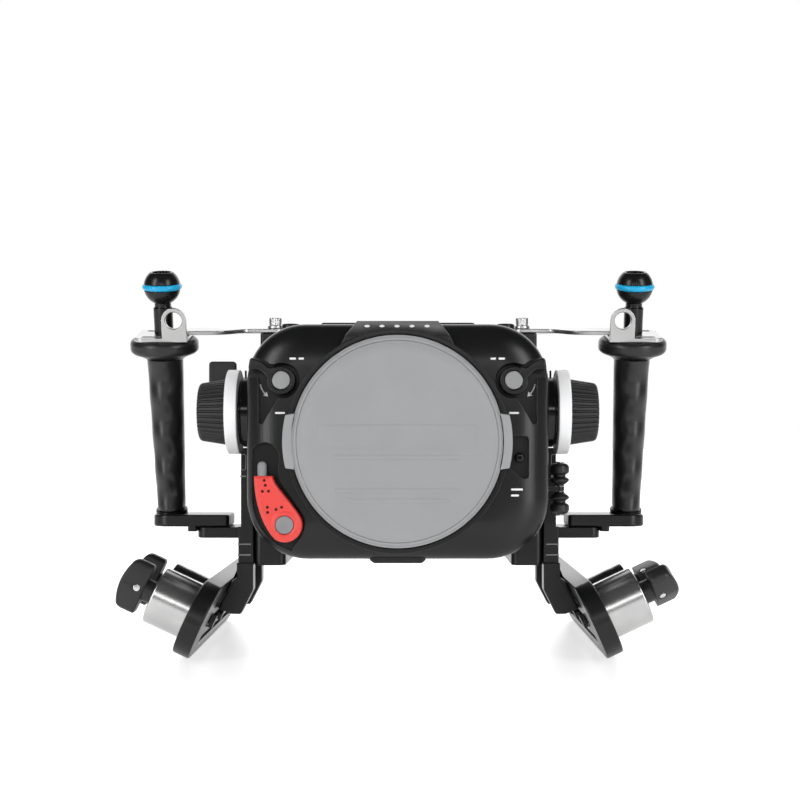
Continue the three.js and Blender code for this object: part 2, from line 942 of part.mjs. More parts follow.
function rearShell() {
  const outside = loft([
    caseRing(0, rearShellFront),
    ...edgeRings(shell.rearRound, -shell.rearRound, shell.rear).reverse(),
  ]);
  const cavity = caseSlab(shell.wall, [rearShellFront - overrun, shell.rear - shell.wall]);
  const groove = [rearShellFront - overrun, rearShellFront + seal.depth + 2 * seat];
  const grooveRing = cut(
    caseSlab(seal.inset - seat, groove),
    caseSlab(seal.inset + seal.width + seat, groove),
  );
  const glass = [shell.rear - rearWindow.thickness - 2 * seat, shell.rear + overrun];
  const wallRange = [shell.rear - shell.wall - overrun, shell.rear + overrun];
  let shape = join(
    outside,
    deckBlock([rearShellFront, deck.rear]),
    block(
      [-pad.halfWidth, pad.halfWidth],
      [rearShellFront, pad.rear],
      [pad.height, pad.height + pad.depth],
    ),
  );
  for (const side of [-1, 1]) {
    const centre = side * strap.boltX;
    shape = shape.add(block(
      [centre - strap.bossHalfWidth, centre + strap.bossHalfWidth],
      [strap.boltY - strap.bossHalfDepth, strap.boltY + strap.bossHalfDepth],
      [strap.bossTop - strap.bossDepth, strap.bossTop],
    ));
  }
  shape = cut(
    shape,
    cavity,
    grooveRing,
    slab(windowOutline(0), wallRange),
    slab(windowOutline(rearWindow.rebate), glass),
  );
  for (const side of [-1, 1]) {
    const place = [side * strap.boltX, strap.boltY, 0];
    const depth = strap.bossTop - strapBolt.shankLength;
    shape = shape.subtract(rod(
      'z',
      [depth, strap.bossTop + overrun],
      strapBolt.shankRadius + seat,
      place,
      sides.tiny,
    ));
  }
  const flank = [-(shell.halfWidth + overrun), -(innerFlank - overrun)];
  return cut(
    shape,
    rod('x', flank, thumb.shaftRadius + seat, [0, thumb.y, thumb.z]),
    rod('y', wallRange, rearButton.stemRadius + seat, [rearButton.x, 0, rearButton.z], sides.tiny),
    rod('z', [valve.neckEnd - overrun, valve.top], valve.neckRadius + seat, [valve.x, valve.y, 0]),
  );
}

function shellSeal() {
  const range = [rearShellFront + seat / 2, rearShellFront + seat / 2 + seal.depth];
  return cut(
    caseSlab(seal.inset, range),
    caseSlab(seal.inset + seal.width, [range[0] - overrun, range[1] + overrun]),
  );
}

function portRing() {
  const grooveMiddle = (port.flangeFront - seat) / 2;
  const half = port.grooveWidth / 2;
  const profile = [
    [port.boreRadius, port.flangeFront], [port.flangeRadius, port.flangeFront],
    [port.flangeRadius, grooveMiddle - half], [port.flangeRadius - port.grooveDepth, grooveMiddle - half],
    [port.flangeRadius - port.grooveDepth, grooveMiddle + half], [port.flangeRadius, grooveMiddle + half],
    [port.flangeRadius, -seat], [port.neckRadius, -seat],
    [port.neckRadius, shell.frontWall], [port.boreRadius, shell.frontWall],
    [port.boreRadius, port.flangeFront],
  ];
  return turned('y', profile, [0, 0, port.height], sides.fine);
}

function portCap() {
  const inside = port.flangeRadius + seat;
  const profile = [
    [0, cap.front], [cap.flatRadius, cap.front], [cap.radius, cap.shoulder],
    [cap.radius, cap.skirtRear], [inside, cap.skirtRear],
    [inside, port.flangeFront - seat], [0, port.flangeFront - seat],
  ];
  const cup = turned('y', profile, [0, 0, port.height], sides.fine);
  const tabRange = [cap.shoulder, cap.tabRear];
  const disc = rod('y', tabRange, cap.tabReach, [0, 0, port.height], sides.fine);
  const band = block(
    [-cap.tabReach, cap.tabReach],
    tabRange,
    [port.height - cap.tabHalfHeight, port.height + cap.tabHalfHeight],
  );
  const tabs = cut(
    disc.intersect(band),
    rod('y', tabRange, inside + seat, [0, 0, port.height], sides.fine),
  );
  return join(cup, tabs);
}

// A cup on a shaft that turns in the case's front wall, for a latch or the port lever, about its own axis.
function pivotShaft(data, cupRear) {
  return join(
    rod('y', [cupRear - seat, shell.frontWall + seat + data.camThickness], data.shaftRadius, [0, 0, 0]),
    rod(
      'y',
      [shell.frontWall + seat, shell.frontWall + seat + data.camThickness],
      data.camRadius,
      [0, 0, 0],
    ),
  );
}

function buttonRoom(data) {
  return join(
    rod(
      'y',
      [data.buttonFront - overrun, data.buttonRear + data.buttonTravel + seat],
      data.buttonRadius + seat,
      [0, 0, 0],
    ),
    rod(
      'y',
      [0, data.buttonRear + data.stemLength + data.buttonTravel + seat],
      data.stemRadius + seat,
      [0, 0, 0],
      sides.tiny,
    ),
  );
}

function pushButton(data) {
  const dome = (data.buttonRear - data.buttonFront) / 4;
  const profile = [
    [0, data.buttonFront], [data.buttonRadius - dome, data.buttonFront],
    [data.buttonRadius, data.buttonFront + dome], [data.buttonRadius, data.buttonRear],
    [data.stemRadius, data.buttonRear], [data.stemRadius, data.buttonRear + data.stemLength],
    [0, data.buttonRear + data.stemLength],
  ];
  return turned('y', profile, [0, 0, 0], sides.small);
}

// The right latch about its own axis.
function latchBody() {
  const rear = latch.recessFloor - seat;
  const edge = (latch.radius - latch.buttonRadius) / 4;
  const disc = turned('y', [
    [0, latch.front], [latch.radius - edge, latch.front], [latch.radius, latch.front + edge],
    [latch.radius, rear], [0, rear],
  ], [0, 0, 0]);
  const arm = slab(outlineOf(armOutline), [latch.armFront, latch.armRear]);
  return cut(join(disc, arm, pivotShaft(latch, rear)), buttonRoom(latch));
}

function releaseButton() {
  const domeRadius = release.radius * release.domeShare;
  const domeHeight = (release.rear - release.front) / 3;
  return turned('y', [
    [0, release.front], [domeRadius, release.front], [release.radius, release.front + domeHeight],
    [release.radius, release.rear], [release.stemRadius, release.rear],
    [release.stemRadius, shell.frontWall + release.stemReach], [0, shell.frontWall + release.stemReach],
  ], [0, 0, 0], sides.small);
}

// The teardrop of the port lever about its pivot, drawn in by an inset.
function leverOutline(inset) {
  const reach = lever.radius - inset;
  const outer = lever.topOuter - inset;
  const inner = lever.topInner + inset;
  const top = lever.length - inset;
  const outerCurveShares = [[0.99, 0.5], [0.76, 0]];
  const innerCurveShares = [[0.12, 0.6], [0.9, 0.82]];
  const shape = new THREE.Shape();
  shape.moveTo(-outer, top);
  shape.bezierCurveTo(
    -outer * outerCurveShares[0][0], top * outerCurveShares[0][1],
    -outer * outerCurveShares[1][0], top * outerCurveShares[1][1],
    reach * Math.cos(lever.startAngle), reach * Math.sin(lever.startAngle),
  );
  shape.absarc(0, 0, reach, lever.startAngle, lever.endAngle);
  shape.bezierCurveTo(
    inner * innerCurveShares[0][0], top * innerCurveShares[0][1],
    -inner * innerCurveShares[1][0], top * innerCurveShares[1][1],
    -inner, top,
  );
  return shape;
}

function leverBody() {
  const levels = [[lever.edge, lever.front], [0, lever.front + lever.edge], [0, lever.rear]];
  const rings = levels.map(([inset, y]) => {
    const points = leverOutline(inset).getPoints(sides.corner).slice(0, -1);
    return points.map((point) => new THREE.Vector3(point.x, y, point.y));
  });
  const tipBore = [lever.length - lever.tipRoot - seat, lever.length + overrun];
  return cut(
    join(loft(rings), pivotShaft(lever, lever.rear)),
    buttonRoom(lever),
    rod('z', tipBore, lever.tipRadius + seat, [lever.tipX, lever.tipY, 0], sides.small),
  );
}

function leverTip() {
  const root = lever.length - lever.tipRoot;
  const end = lever.length + lever.tipReach;
  const round = lever.tipRadius * Math.SQRT1_2;
  return turned('z', [
    [0, root], [lever.tipRadius, root], [lever.tipRadius, end - lever.tipRadius],
    [round, end - lever.tipRadius + round], [0, end],
  ], [lever.tipX, lever.tipY, 0], sides.small);
}

// The right knob's gland, white ring and ribbed grip, which the left side mirrors.
function knobGland() {
  const edge = seat + knob.ringChamfer;
  const profile = [
    [knob.shaftRadius + seat, knob.neckInner], [knob.neckRadius, knob.neckInner],
    [knob.neckRadius, knob.glandInner], [knob.glandRadius, knob.glandInner],
    [knob.glandRadius, knob.glandOuter - edge], [knob.glandRadius - edge, knob.glandOuter],
    [knob.shaftRadius + seat, knob.glandOuter], [knob.shaftRadius + seat, knob.neckInner],
  ];
  return turned('x', profile, [0, knob.y, knob.z], sides.round);
}

function knobRing() {
  const bore = knob.hubRadius + seat;
  const edge = knob.ringChamfer;
  const profile = [
    [bore, knob.ringInner], [knob.ringRadius - edge, knob.ringInner],
    [knob.ringRadius, knob.ringInner + edge], [knob.ringRadius, knob.ringOuter - edge],
    [knob.ringRadius - edge, knob.ringOuter], [bore, knob.ringOuter], [bore, knob.ringInner],
  ];
  return turned('x', profile, [0, knob.y, knob.z], sides.fine);
}

function knobGrip() {
  const count = 2 * knob.ridges;
  const stations = [
    [knob.gripInner, knob.innerRadius, 1],
    [knob.gripOuter - knob.crown, knob.outerRadius, 1],
    [knob.gripOuter, knob.outerRadius - knob.crown, 0],
  ];
  const rings = stations.map(([x, radius, share]) => Array.from({ length: count }, (_, k) => {
    const angle = (2 * Math.PI * k) / count;
    const reach = radius - (k % 2) * share * knob.ridgeDepth;
    return new THREE.Vector3(x, knob.y + reach * Math.cos(angle), knob.z + reach * Math.sin(angle));
  }));
  return join(
    loft(rings),
    rod('x', [knob.ringInner, knob.gripInner + seat], knob.hubRadius, [0, knob.y, knob.z]),
    rod('x', [knob.shaftInner, knob.gripInner], knob.shaftRadius, [0, knob.y, knob.z]),
    rod('x', [knob.shaftInner - knob.forkThickness, knob.shaftInner], knob.forkRadius, [0, knob.y, knob.z]),
  );
}

// The thumb lever, on the left, so its X values are negative. Its paddle is low near the case and high outside.
function thumbLever() {
  const step = -(thumb.paddleInner + thumb.shelfWidth);
  const paddle = roundedRectangle(
    [-(thumb.paddleInner + thumb.paddleWidth), step],
    [thumb.paddleBottom, thumb.paddleBottom + thumb.paddleHeight],
    thumb.paddleCorner,
  );
  const shelf = roundedRectangle(
    [step - 2 * thumb.paddleCorner, -thumb.paddleInner],
    [thumb.paddleBottom, thumb.paddleBottom + thumb.shelfHeight],
    thumb.paddleCorner,
  );
  const half = thumb.armWidth / 2;
  const faces = [thumb.armThickness - thumb.hubOuter, -thumb.hubOuter];
  const stalk = solid(new ConvexGeometry(faces.flatMap((x) => [
    new THREE.Vector3(x, thumb.y - half, thumb.z),
    new THREE.Vector3(x, thumb.y + half, thumb.z),
    new THREE.Vector3(x, thumb.paddleFront, thumb.paddleBottom + half),
    new THREE.Vector3(x, thumb.paddleRear, thumb.paddleBottom + half),
  ])));
  return join(
    slab(paddle, [thumb.paddleFront, thumb.paddleRear]),
    slab(shelf, [thumb.paddleFront, thumb.paddleRear]),
    stalk,
    rod('x', [-thumb.hubOuter, -thumb.hubInner], thumb.hubRadius, [0, thumb.y, thumb.z]),
    rod('x', [-thumb.hubOuter, -knob.shaftInner], thumb.shaftRadius, [0, thumb.y, thumb.z]),
    rod(
      'x',
      [-knob.shaftInner, thumb.forkThickness - knob.shaftInner],
      thumb.forkRadius,
      [0, thumb.y, thumb.z],
    ),
  );
}

// One finger lever: a large round lobe and a small pointed one on a hub; `sign` turns it upside down.
function fingerLever(sign) {
  const length = (finger.length - finger.lugThickness) / 2 - seat;
  const bore = finger.pinRadius + seat;
  const lobeShares = [[0.7, 0], [1, 0.16], [0.97, 0.42]];
  const pointShares = [[0.9, 0.66], [1, 0.74], [0.8, 0.84]];
  const [waistShare, hubShare] = [0.58, 0.94];
  const stations = [
    [bore, 0],
    ...lobeShares.map(([share, place]) => [share * finger.lobeRadius, place]),
    [finger.waistRadius, waistShare],
    ...pointShares.map(([share, place]) => [share * finger.smallRadius, place]),
    [finger.hubRadius, hubShare], [finger.hubRadius, 1], [bore, 1], [bore, 0],
  ];
  const end = sign > 0 ? finger.top : finger.bottom;
  const profile = stations.map(([radius, share]) => [radius, end - sign * share * length]);
  return turned('z', profile, [finger.x, finger.y, 0], sides.small);
}

// The spindle, with a flat head at each end that keeps the levers on it.
function fingerPin() {
  const [low, high] = [finger.bottom - seat, finger.top + seat];
  return turned('z', [
    [0, low - finger.headHeight], [finger.headRadius, low - finger.headHeight], [finger.headRadius, low],
    [finger.pinRadius, low], [finger.pinRadius, high], [finger.headRadius, high],
    [finger.headRadius, high + finger.headHeight], [0, high + finger.headHeight],
  ], [finger.x, finger.y, 0], sides.tiny);
}

function bulkheadCap() {
  const edge = (bulkhead.top - bulkhead.spot) / 4;
  return turned('z', [
    [0, bulkhead.neckEnd], [bulkhead.neck, bulkhead.neckEnd], [bulkhead.neck, bulkhead.spot + seat],
    [bulkhead.radius, bulkhead.spot + seat], [bulkhead.radius, bulkhead.top - edge],
    [bulkhead.radius - edge, bulkhead.top], [0, bulkhead.top],
  ], [bulkhead.x, bulkhead.y, 0], sides.small);
}

function vacuumValve() {
  const capBase = valve.top - valve.capHeight;
  return turned('z', [
    [0, valve.neckEnd], [valve.neckRadius, valve.neckEnd], [valve.neckRadius, deck.height + seat],
    [valve.radius, deck.height + seat], [valve.radius, capBase], [valve.capRadius, capBase],
    [valve.capRadius, valve.top], [0, valve.top],
  ], [valve.x, valve.y, 0], sides.small);
}

function windowPane() {
  const rear = shell.rear - seat;
  return slab(windowOutline(rearWindow.rebate - seat), [rear - rearWindow.thickness, rear]);
}

function windowFrame() {
  const range = [shell.rear + seat, shell.rear + seat + rearWindow.frameThickness];
  const opening = [range[0] - overrun, range[1] + overrun];
  return cut(
    slab(windowOutline(rearWindow.frameWidth), range),
    slab(windowOutline(-rearWindow.frameLip), opening),
  );
}

function recordButton() {
  const front = shell.rear + rearButton.gap;
  const end = shell.rear - rearButton.stemLength;
  return turned('y', [
    [0, end], [rearButton.stemRadius, end], [rearButton.stemRadius, front],
    [rearButton.radius, front], [rearButton.radius, front + rearButton.thickness],
    [0, front + rearButton.thickness],
  ], [rearButton.x, 0, rearButton.z], sides.small);
}

function cameraTray() {
  const floor = shell.bottom + shell.wall + seat;
  const top = floor + tray.thickness;
  const across = [-tray.halfWidth, tray.halfWidth];
  const length = [tray.front, shell.rear - tray.rearGap];
  const slotFront = tray.front + tray.slotSetback;
  const slot = block(
    [-tray.slotHalfWidth, tray.slotHalfWidth],
    [slotFront, slotFront + tray.slotLength],
    [floor - overrun, top + overrun],
  );
  const shape = join(
    block(across, length, [floor, top]),
    block([-tray.halfWidth, tray.lip - tray.halfWidth], length, [floor, floor + tray.lipHeight]),
    block([tray.halfWidth - tray.lip, tray.halfWidth], length, [floor, floor + tray.lipHeight]),
    rod('z', [floor, top + tray.screwHeight], tray.screwRadius, [0, tray.front + tray.screwSetback, 0]),
  );
  return cut(shape, slot);
}

// The right side rail with its two legs, whose feet lie against the tilted weight rail.
function sideRail() {
  const upperOuter = rail.outer - rail.relief;
  const step = rail.bottom + rail.stepRise;
  const top = rail.bottom + rail.height;
  const railShape = outlineOf([
    [rail.inner, rail.bottom], [rail.outer, rail.bottom], [rail.outer, step],
    [upperOuter, step], [upperOuter, top], [rail.inner, top],
  ]);
  const opening = block(
    [rail.inner - overrun, rail.outer + overrun],
    [rail.front + rail.windowMargin, rail.rear - rail.windowMargin],
    [rail.windowBottom, rail.windowBottom + rail.windowHeight],
  );
  const onRail = (rise) => [
    weightRail.x - rise * Math.sin(tilt) - seat * Math.cos(tilt),
    rise * Math.cos(tilt) - seat * Math.sin(tilt),
  ];
  const legShape = outlineOf([
    [rail.inner, rail.bottom + overrun], [leg.outer, rail.bottom + overrun],
    [leg.outer, rail.bottom - leg.shoulderDrop],
    onRail(weightRail.width - seat), onRail(weight.rise + clamp.nutRadius + 2 * seat),
    [leg.outer - leg.heelInset, rail.bottom - leg.heelDrop], [rail.inner, rail.bottom - leg.innerDrop],
  ]);
  const places = [rail.front + leg.lead, rail.rear - leg.rearLead];
  const legs = places.map((y) => slab(legShape, [y - leg.thickness / 2, y + leg.thickness / 2]));
  return join(cut(slab(railShape, [rail.front, rail.rear]), opening), ...legs);
}

function baseFoot() {
  const outer = rail.inner - seat;
  const shape = roundedRectangle(
    [outer - foot.width, outer],
    [rail.front, rail.rear - foot.rearGap],
    foot.corner,
  );
  return plate(shape, [rail.bottom, shell.bottom + foot.rise]).subtract(caseSlab(
    -seat,
    [rearShellFront, shell.rear],
  ));
}

// The weight rail in its own frame: X out through its thickness, Z up along its width.
function slottedRail() {
  const shape = roundedRectangle(
    [weightRail.front, weightRail.rear],
    [0, weightRail.width],
    weightRail.endRadius,
  );
  const half = weightRail.slotHalfWidth;
  const reach = [weightRail.front + weightRail.slotMargin, weightRail.rear - weightRail.slotMargin];
  for (let slot = 0; slot < weightRail.slots; slot += 1) {
    const height = weightRail.slotLow + slot * weightRail.slotPitch;
    shape.holes.push(roundedRectangle(reach, [height - half, height + half], half));
  }
  const geometry = new THREE.ExtrudeGeometry(shape, {
    depth: weightRail.thickness, bevelEnabled: false, curveSegments: sides.arc,
  });
  geometry.rotateX(quarter);
  geometry.rotateZ(quarter);
  return solid(geometry);
}

function diveWeight() {
  const edge = weight.edge;
  return turned('x', [
    [weight.bore, weight.base], [weight.radius - edge, weight.base], [weight.radius, weight.base + edge],
    [weight.radius, weight.top - edge], [weight.radius - edge, weight.top], [weight.bore, weight.top],
    [weight.bore, weight.base],
  ], [0, 0, 0], sides.round);
}

// The T-shaped clamp knob about the weight's axis, with its rod through the rail and the nut behind it.
// The bar is widest and highest in its middle.
function clampKnob() {
  const rings = Array.from({ length: clamp.barSteps + 1 }, (_, step) => {
    const share = (2 * step) / clamp.barSteps - 1;
    const swell = 1 - share ** 2;
    const half = THREE.MathUtils.lerp(clamp.endHalfWidth, clamp.barHalfWidth, swell);
    const top = clamp.shoulderTop + swell * clamp.crown;
    const corners = [[clamp.barBase, -half], [top, -half], [top, half], [clamp.barBase, half]];
    return corners.map(([x, y]) => new THREE.Vector3(x, y, share * clamp.barHalfLength));
  });
  return join(
    loft(rings),
    rod('x', [clamp.neckBase, clamp.barBase + seat], clamp.neckRadius, [0, 0, 0]),
    rod('x', [-(clamp.nutThickness + seat), clamp.neckBase + seat], clamp.rodRadius, [0, 0, 0], sides.tiny),
    rod('x', [-(clamp.nutThickness + seat), -seat], clamp.nutRadius, [0, 0, 0]),
  );
}

function handleArm() {
  const shape = roundedRectangle(
    [arm.inner, arm.outer],
    [arm.front, arm.rear],
    arm.innerCorner,
    arm.corner,
  );
  return plate(shape, [arm.bottom, arm.top]);
}

function gripPoint(x, y, z) {
  const point = new THREE.Vector3(x, y, z);
  point.applyAxisAngle(new THREE.Vector3(1, 0, 0), grip.lean);
  return point.add(new THREE.Vector3(grip.x, grip.y, handlePlate.top));
}

function handlePlateBody() {
  const depth = [arm.front, arm.rear];
  const reach = [arm.inner + handlePlate.innerGap, grip.x + handlePlate.overhang];
  const shape = roundedRectangle(reach, depth, handlePlate.innerCorner, handlePlate.corner);
  const stepInner = arm.outer + seat;
  const step = roundedRectangle(
    [stepInner, stepInner + handlePlate.stepWidth],
    depth,
    handlePlate.innerCorner,
  );
  const geometry = new THREE.CylinderGeometry(
    grip.collarRadius,
    grip.collarRadius,
    2 * grip.collarTop,
    sides.round,
  );
  geometry.rotateX(quarter + grip.lean);
  geometry.translate(grip.x, grip.y, handlePlate.top);
  return join(
    plate(shape, [handlePlate.bottom, handlePlate.top]),
    plate(step, [handlePlate.bottom - handlePlate.stepDrop, handlePlate.bottom + seat]),
    solid(geometry),
  );
}

// The rubber grip about its own axis: an oval with finger grooves along its front, and a round flange on top.
function gripBody() {
  const bottom = grip.collarTop + seat;
  const count = sides.small + 2;
  const steps = 3 * grip.grooves;
  const rings = Array.from({ length: steps + 1 }, (_, step) => {
    const share = step / steps;
    const halfWidth = THREE.MathUtils.lerp(grip.bottomHalfWidth, grip.topHalfWidth, share);
    const halfDepth = THREE.MathUtils.lerp(grip.bottomHalfDepth, grip.topHalfDepth, share);
    const groove = grip.grooveDepth * Math.sin(grip.grooves * share * Math.PI) ** 2;
    return Array.from({ length: count }, (__, k) => {
      const angle = (2 * Math.PI * k) / count;
      const front = Math.max(0, -Math.sin(angle));
      const reachY = halfDepth - groove * front;
      const reachX = halfWidth - (groove * front) / 3;
      const height = THREE.MathUtils.lerp(bottom, grip.top, share);
      return new THREE.Vector3(reachX * Math.cos(angle), reachY * Math.sin(angle), height);
    });
  });
  const root = grip.top - grip.flangeDepth;
  const flange = turned('z', [
    [0, root], [grip.topHalfWidth - grip.flangeEdge, root],
    [grip.flangeRadius - grip.flangeEdge, grip.flangeLow], [grip.flangeRadius, grip.flangeBand],
    [grip.flangeRadius, grip.flangeHigh], [grip.flangeRadius - grip.flangeEdge, grip.flangeTop],
    [0, grip.flangeTop],
  ], [0, 0, 0], sides.round);
  const bore = rod(
    'z',
    [grip.flangeTop - grip.studDepth, grip.flangeTop + overrun],
    grip.studBore,
    [0, 0, 0],
    sides.tiny,
  );
  return cut(join(loft(rings), flange), bore);
}

// The steel bracket on the grip's flange, in the grip's frame, with the case on its low X side.
function bracketBody() {
  const { base, top } = bracket;
  const shape = roundedRectangle(
    [-bracket.halfWidth, bracket.halfWidth],
    [-bracket.halfDepth, bracket.halfDepth],
    bracket.corner,
  );
  for (const y of [-1, 1]) {
    const halfSlot = (bracket.slotOuter - bracket.slotInner) / 2;
    const middle = y * (bracket.slotInner + halfSlot);
    shape.holes.push(roundedRectangle(
      [0, bracket.slotHalfLength + bracket.slotInner / 2],
      [middle - halfSlot, middle + halfSlot],
      halfSlot,
    ));
  }
  const earMiddle = bracket.earWidth / 2 - bracket.halfWidth;
  const radius = bracket.earWidth / 2;
  const holeHeight = top + bracket.earRise;
  const ear = new THREE.Shape();
  ear.moveTo(earMiddle - radius, base);
  ear.lineTo(earMiddle + radius, base);
  ear.lineTo(earMiddle + radius, holeHeight);
  ear.absarc(earMiddle, holeHeight, radius, 0, Math.PI);
  const front = -bracket.halfDepth;
  const hole = rod(
    'y',
    [front - overrun, front + bracket.thickness + overrun],
    bracket.holeRadius,
    [earMiddle, 0, holeHeight],
    sides.round,
  );
  const stud = rod('z', [base - overrun, top + overrun], ball.studRadius + seat, [0, 0, 0], sides.tiny);
  return cut(join(plate(shape, [base, top]), slab(ear, [front, front + bracket.thickness])), stud, hole);
}

function ballMount() {
  const groove = ball.ringTube + seat;
  const surface = (radius, height) => [radius, ball.height + height];
  const onBall = (height) => surface(Math.sqrt(ball.radius ** 2 - height ** 2), height);
  const neckHeight = -Math.sqrt(ball.radius ** 2 - ball.neckRadius ** 2);
  const [lowShare, midShare, grooveShare, highShare] = [0.8, 0.5, 0.6, 0.7];
  const studEnd = grip.flangeTop - grip.studDepth + seat;
  const footTop = ball.base + ball.footRise;
  const stemTop = ball.base + ball.stemRise;
  return turned('z', [
    [0, studEnd], [ball.studRadius, studEnd], [ball.studRadius, ball.base], [ball.footRadius, ball.base],
    [ball.footRadius, footTop], [ball.stemRadius, footTop], [ball.stemRadius, stemTop],
    [ball.neckRadius, stemTop], onBall(neckHeight),
    onBall(lowShare * neckHeight), onBall(midShare * neckHeight),
    onBall(-groove), surface(ball.ringRadius, -groove),
    surface(ball.ringRadius - groove, -grooveShare * groove),
    surface(ball.ringRadius - groove, grooveShare * groove), surface(ball.ringRadius, groove),
    onBall(groove), onBall(highShare * ball.flat), onBall(ball.flat),
    surface(ball.boreRadius, ball.flat), surface(ball.boreRadius, ball.flat - ball.boreDepth),
    surface(0, ball.flat - ball.boreDepth),
  ], [0, 0, 0], sides.round);
}

function ballRing() {
  const geometry = new THREE.TorusGeometry(ball.ringRadius, ball.ringTube, sides.tube, sides.round);
  geometry.translate(0, 0, ball.height);
  return solid(geometry);
}

// The right strap, which leans with the bracket at one end and lies flat on the case at the other.
function strapBody() {
  const handleEnd = gripPoint(0, 0, bracket.top + seat + strap.thickness / 2);
  const flat = strap.bossTop + seat + strap.thickness / 2;
  const stations = [
    { x: strap.handleX + strap.halfWidth, share: 0 },
    { x: strap.handleX - strap.halfWidth, share: 0 },
    { x: strap.bendOuter + strap.halfWidth, share: 0.1 },
    { x: strap.bendOuter, share: 0.22 },
    { x: (strap.bendOuter + strap.bendInner) / 2, share: 0.6 },
    { x: strap.bendInner, share: 0.94 },
    { x: strap.bendInner - strap.halfWidth, share: 1 },
    { x: strap.boltX - strap.endReach, share: 1 },
  ];
  const rings = stations.map(({ x, share }) => {
    const lean = grip.lean * (1 - share);
    const y = THREE.MathUtils.lerp(handleEnd.y, strap.boltY, share);
    const z = THREE.MathUtils.lerp(handleEnd.z, flat, share);
    const half = strap.thickness / 2;
    return [[-1, -1], [1, -1], [1, 1], [-1, 1]].map(([across, up]) => {
      const point = new THREE.Vector3(0, across * strap.halfWidth, up * half);
      point.applyAxisAngle(new THREE.Vector3(1, 0, 0), lean);
      return point.add(new THREE.Vector3(x, y, z));
    });
  });
  const bore = rod(
    'z',
    [flat - strap.thickness, flat + strap.thickness],
    strapBolt.shankRadius + seat,
    [strap.boltX, strap.boltY, 0],
    sides.tiny,
  );
  return cut(loft(rings), bore);
}

function strapBoltBody() {
  const base = strap.bossTop + strap.thickness + 2 * seat;
  const end = strap.bossTop - strapBolt.shankLength + seat;
  const rim = base + strapBolt.rimHeight;
  return turned('z', [
    [0, end], [strapBolt.shankRadius, end], [strapBolt.shankRadius, base],
    [strapBolt.rimRadius, base], [strapBolt.rimRadius, rim], [strapBolt.headRadius, rim],
    [strapBolt.headRadius, base + strapBolt.headHeight], [0, base + strapBolt.headHeight],
  ], [strap.boltX, strap.boltY, 0], sides.small);
}

// The pieces of one side, made for the right and mirrored for the left
function sideGroup(name, mirror) {
  const group = new THREE.Group();
  group.scale.x = mirror;
  group.add(
    piece(`${name}_side_rail`, sideRail(), finishes.anodised),
    piece(`${name}_base_foot`, baseFoot(), finishes.anodised),
    piece(`${name}_handle_arm`, handleArm(), finishes.anodised),
    piece(`${name}_handle_plate`, handlePlateBody(), finishes.anodised),
    piece(`${name}_strap`, strapBody(), finishes.steel),
    piece(`${name}_strap_bolt`, strapBoltBody(), finishes.steel),
    piece(`${name}_bulkhead_cap`, bulkheadCap(), finishes.anodised),
    piece(`${name}_knob_gland`, knobGland(), finishes.anodised),
    piece(`${name}_knob_ring`, knobRing(), finishes.white),
    piece(`${name}_knob`, knobGrip(), finishes.blackPlastic),
  );

  const handle = new THREE.Group();
  handle.position.set(grip.x, grip.y, handlePlate.top);
  handle.rotation.x = grip.lean;
  handle.add(
    piece(`${name}_grip`, gripBody(), finishes.rubber),
    piece(`${name}_grip_bracket`, bracketBody(), finishes.steel),
    piece(`${name}_ball_mount`, ballMount(), finishes.anodised),
    piece(`${name}_ball_ring`, ballRing(), finishes.blue),
  );

  const tilted = new THREE.Group();
  tilted.position.set(weightRail.x, 0, 0);
  tilted.rotation.y = -tilt;
  tilted.add(piece(`${name}_weight_rail`, slottedRail(), finishes.anodised));
  for (const [place, y] of [['front', weight.frontY], ['rear', weight.rearY]]) {
    const mass = piece(`${name}_${place}_weight`, diveWeight(), finishes.steel);
    const turn = piece(`${name}_${place}_clamp_knob`, clampKnob(), finishes.blackPlastic);
    mass.position.set(0, y, weight.rise);
    turn.position.copy(mass.position);
    turn.rotation.x = clampAngles[`${name}_${place}`] * degree;
    tilted.add(mass, turn);
  }
  group.add(handle, tilted);

  const turret = new THREE.Group();
  turret.position.set(latch.x, 0, latch.z);
  turret.add(
    piece(`${name}_latch`, latchBody(), finishes.anodised),
    piece(`${name}_latch_button`, pushButton(latch), finishes.buttonGrey),
  );
  group.add(turret);
  return group;
}

// The port lever's pieces stand on its pivot
function leverGroup() {
  const group = new THREE.Group();
  group.position.set(lever.x, 0, lever.z);
  group.add(
    piece('port_lever', leverBody(), finishes.red),
    piece('port_lever_tip', leverTip(), finishes.buttonGrey),
    piece('port_lever_button', pushButton(lever), finishes.buttonGrey),
  );
  return group;
}

const lensRelease = piece('lens_release_button', releaseButton(), finishes.blackPlastic);
lensRelease.position.set(release.x, 0, release.z);

const housing = new THREE.Group();
housing.name = 'underwater_camera_housing';
housing.add(
  piece('front_shell', frontShell(), finishes.anodised),
  piece('rear_shell', rearShell(), finishes.anodised),
  piece('shell_seal', shellSeal(), finishes.rubber),
  piece('port_ring', portRing(), finishes.anodised),
  piece('port_cap', portCap(), finishes.capGrey),
  piece('camera_tray', cameraTray(), finishes.anodised),
  piece('rear_window', windowPane(), finishes.clear),
  piece('window_frame', windowFrame(), finishes.anodised),
  piece('vacuum_valve', vacuumValve(), finishes.anodised),
  piece('record_button', recordButton(), finishes.buttonGrey),
  piece('thumb_lever', thumbLever(), finishes.blackPlastic),
  piece('upper_finger_lever', fingerLever(1), finishes.blackPlastic),
  piece('lower_finger_lever', fingerLever(-1), finishes.blackPlastic),
  piece('finger_lever_pin', fingerPin(), finishes.steel),
  lensRelease,
  leverGroup(),
  sideGroup('left', -1),
  sideGroup('right', 1),
);

// The origin is on the case's middle plane, halfway along the whole, on the surface that the rails stand on
housing.updateMatrixWorld(true);
const middle = new THREE.Box3().setFromObject(housing, true).getCenter(new THREE.Vector3());
housing.position.set(0, -middle.y, 0);

export default housing;
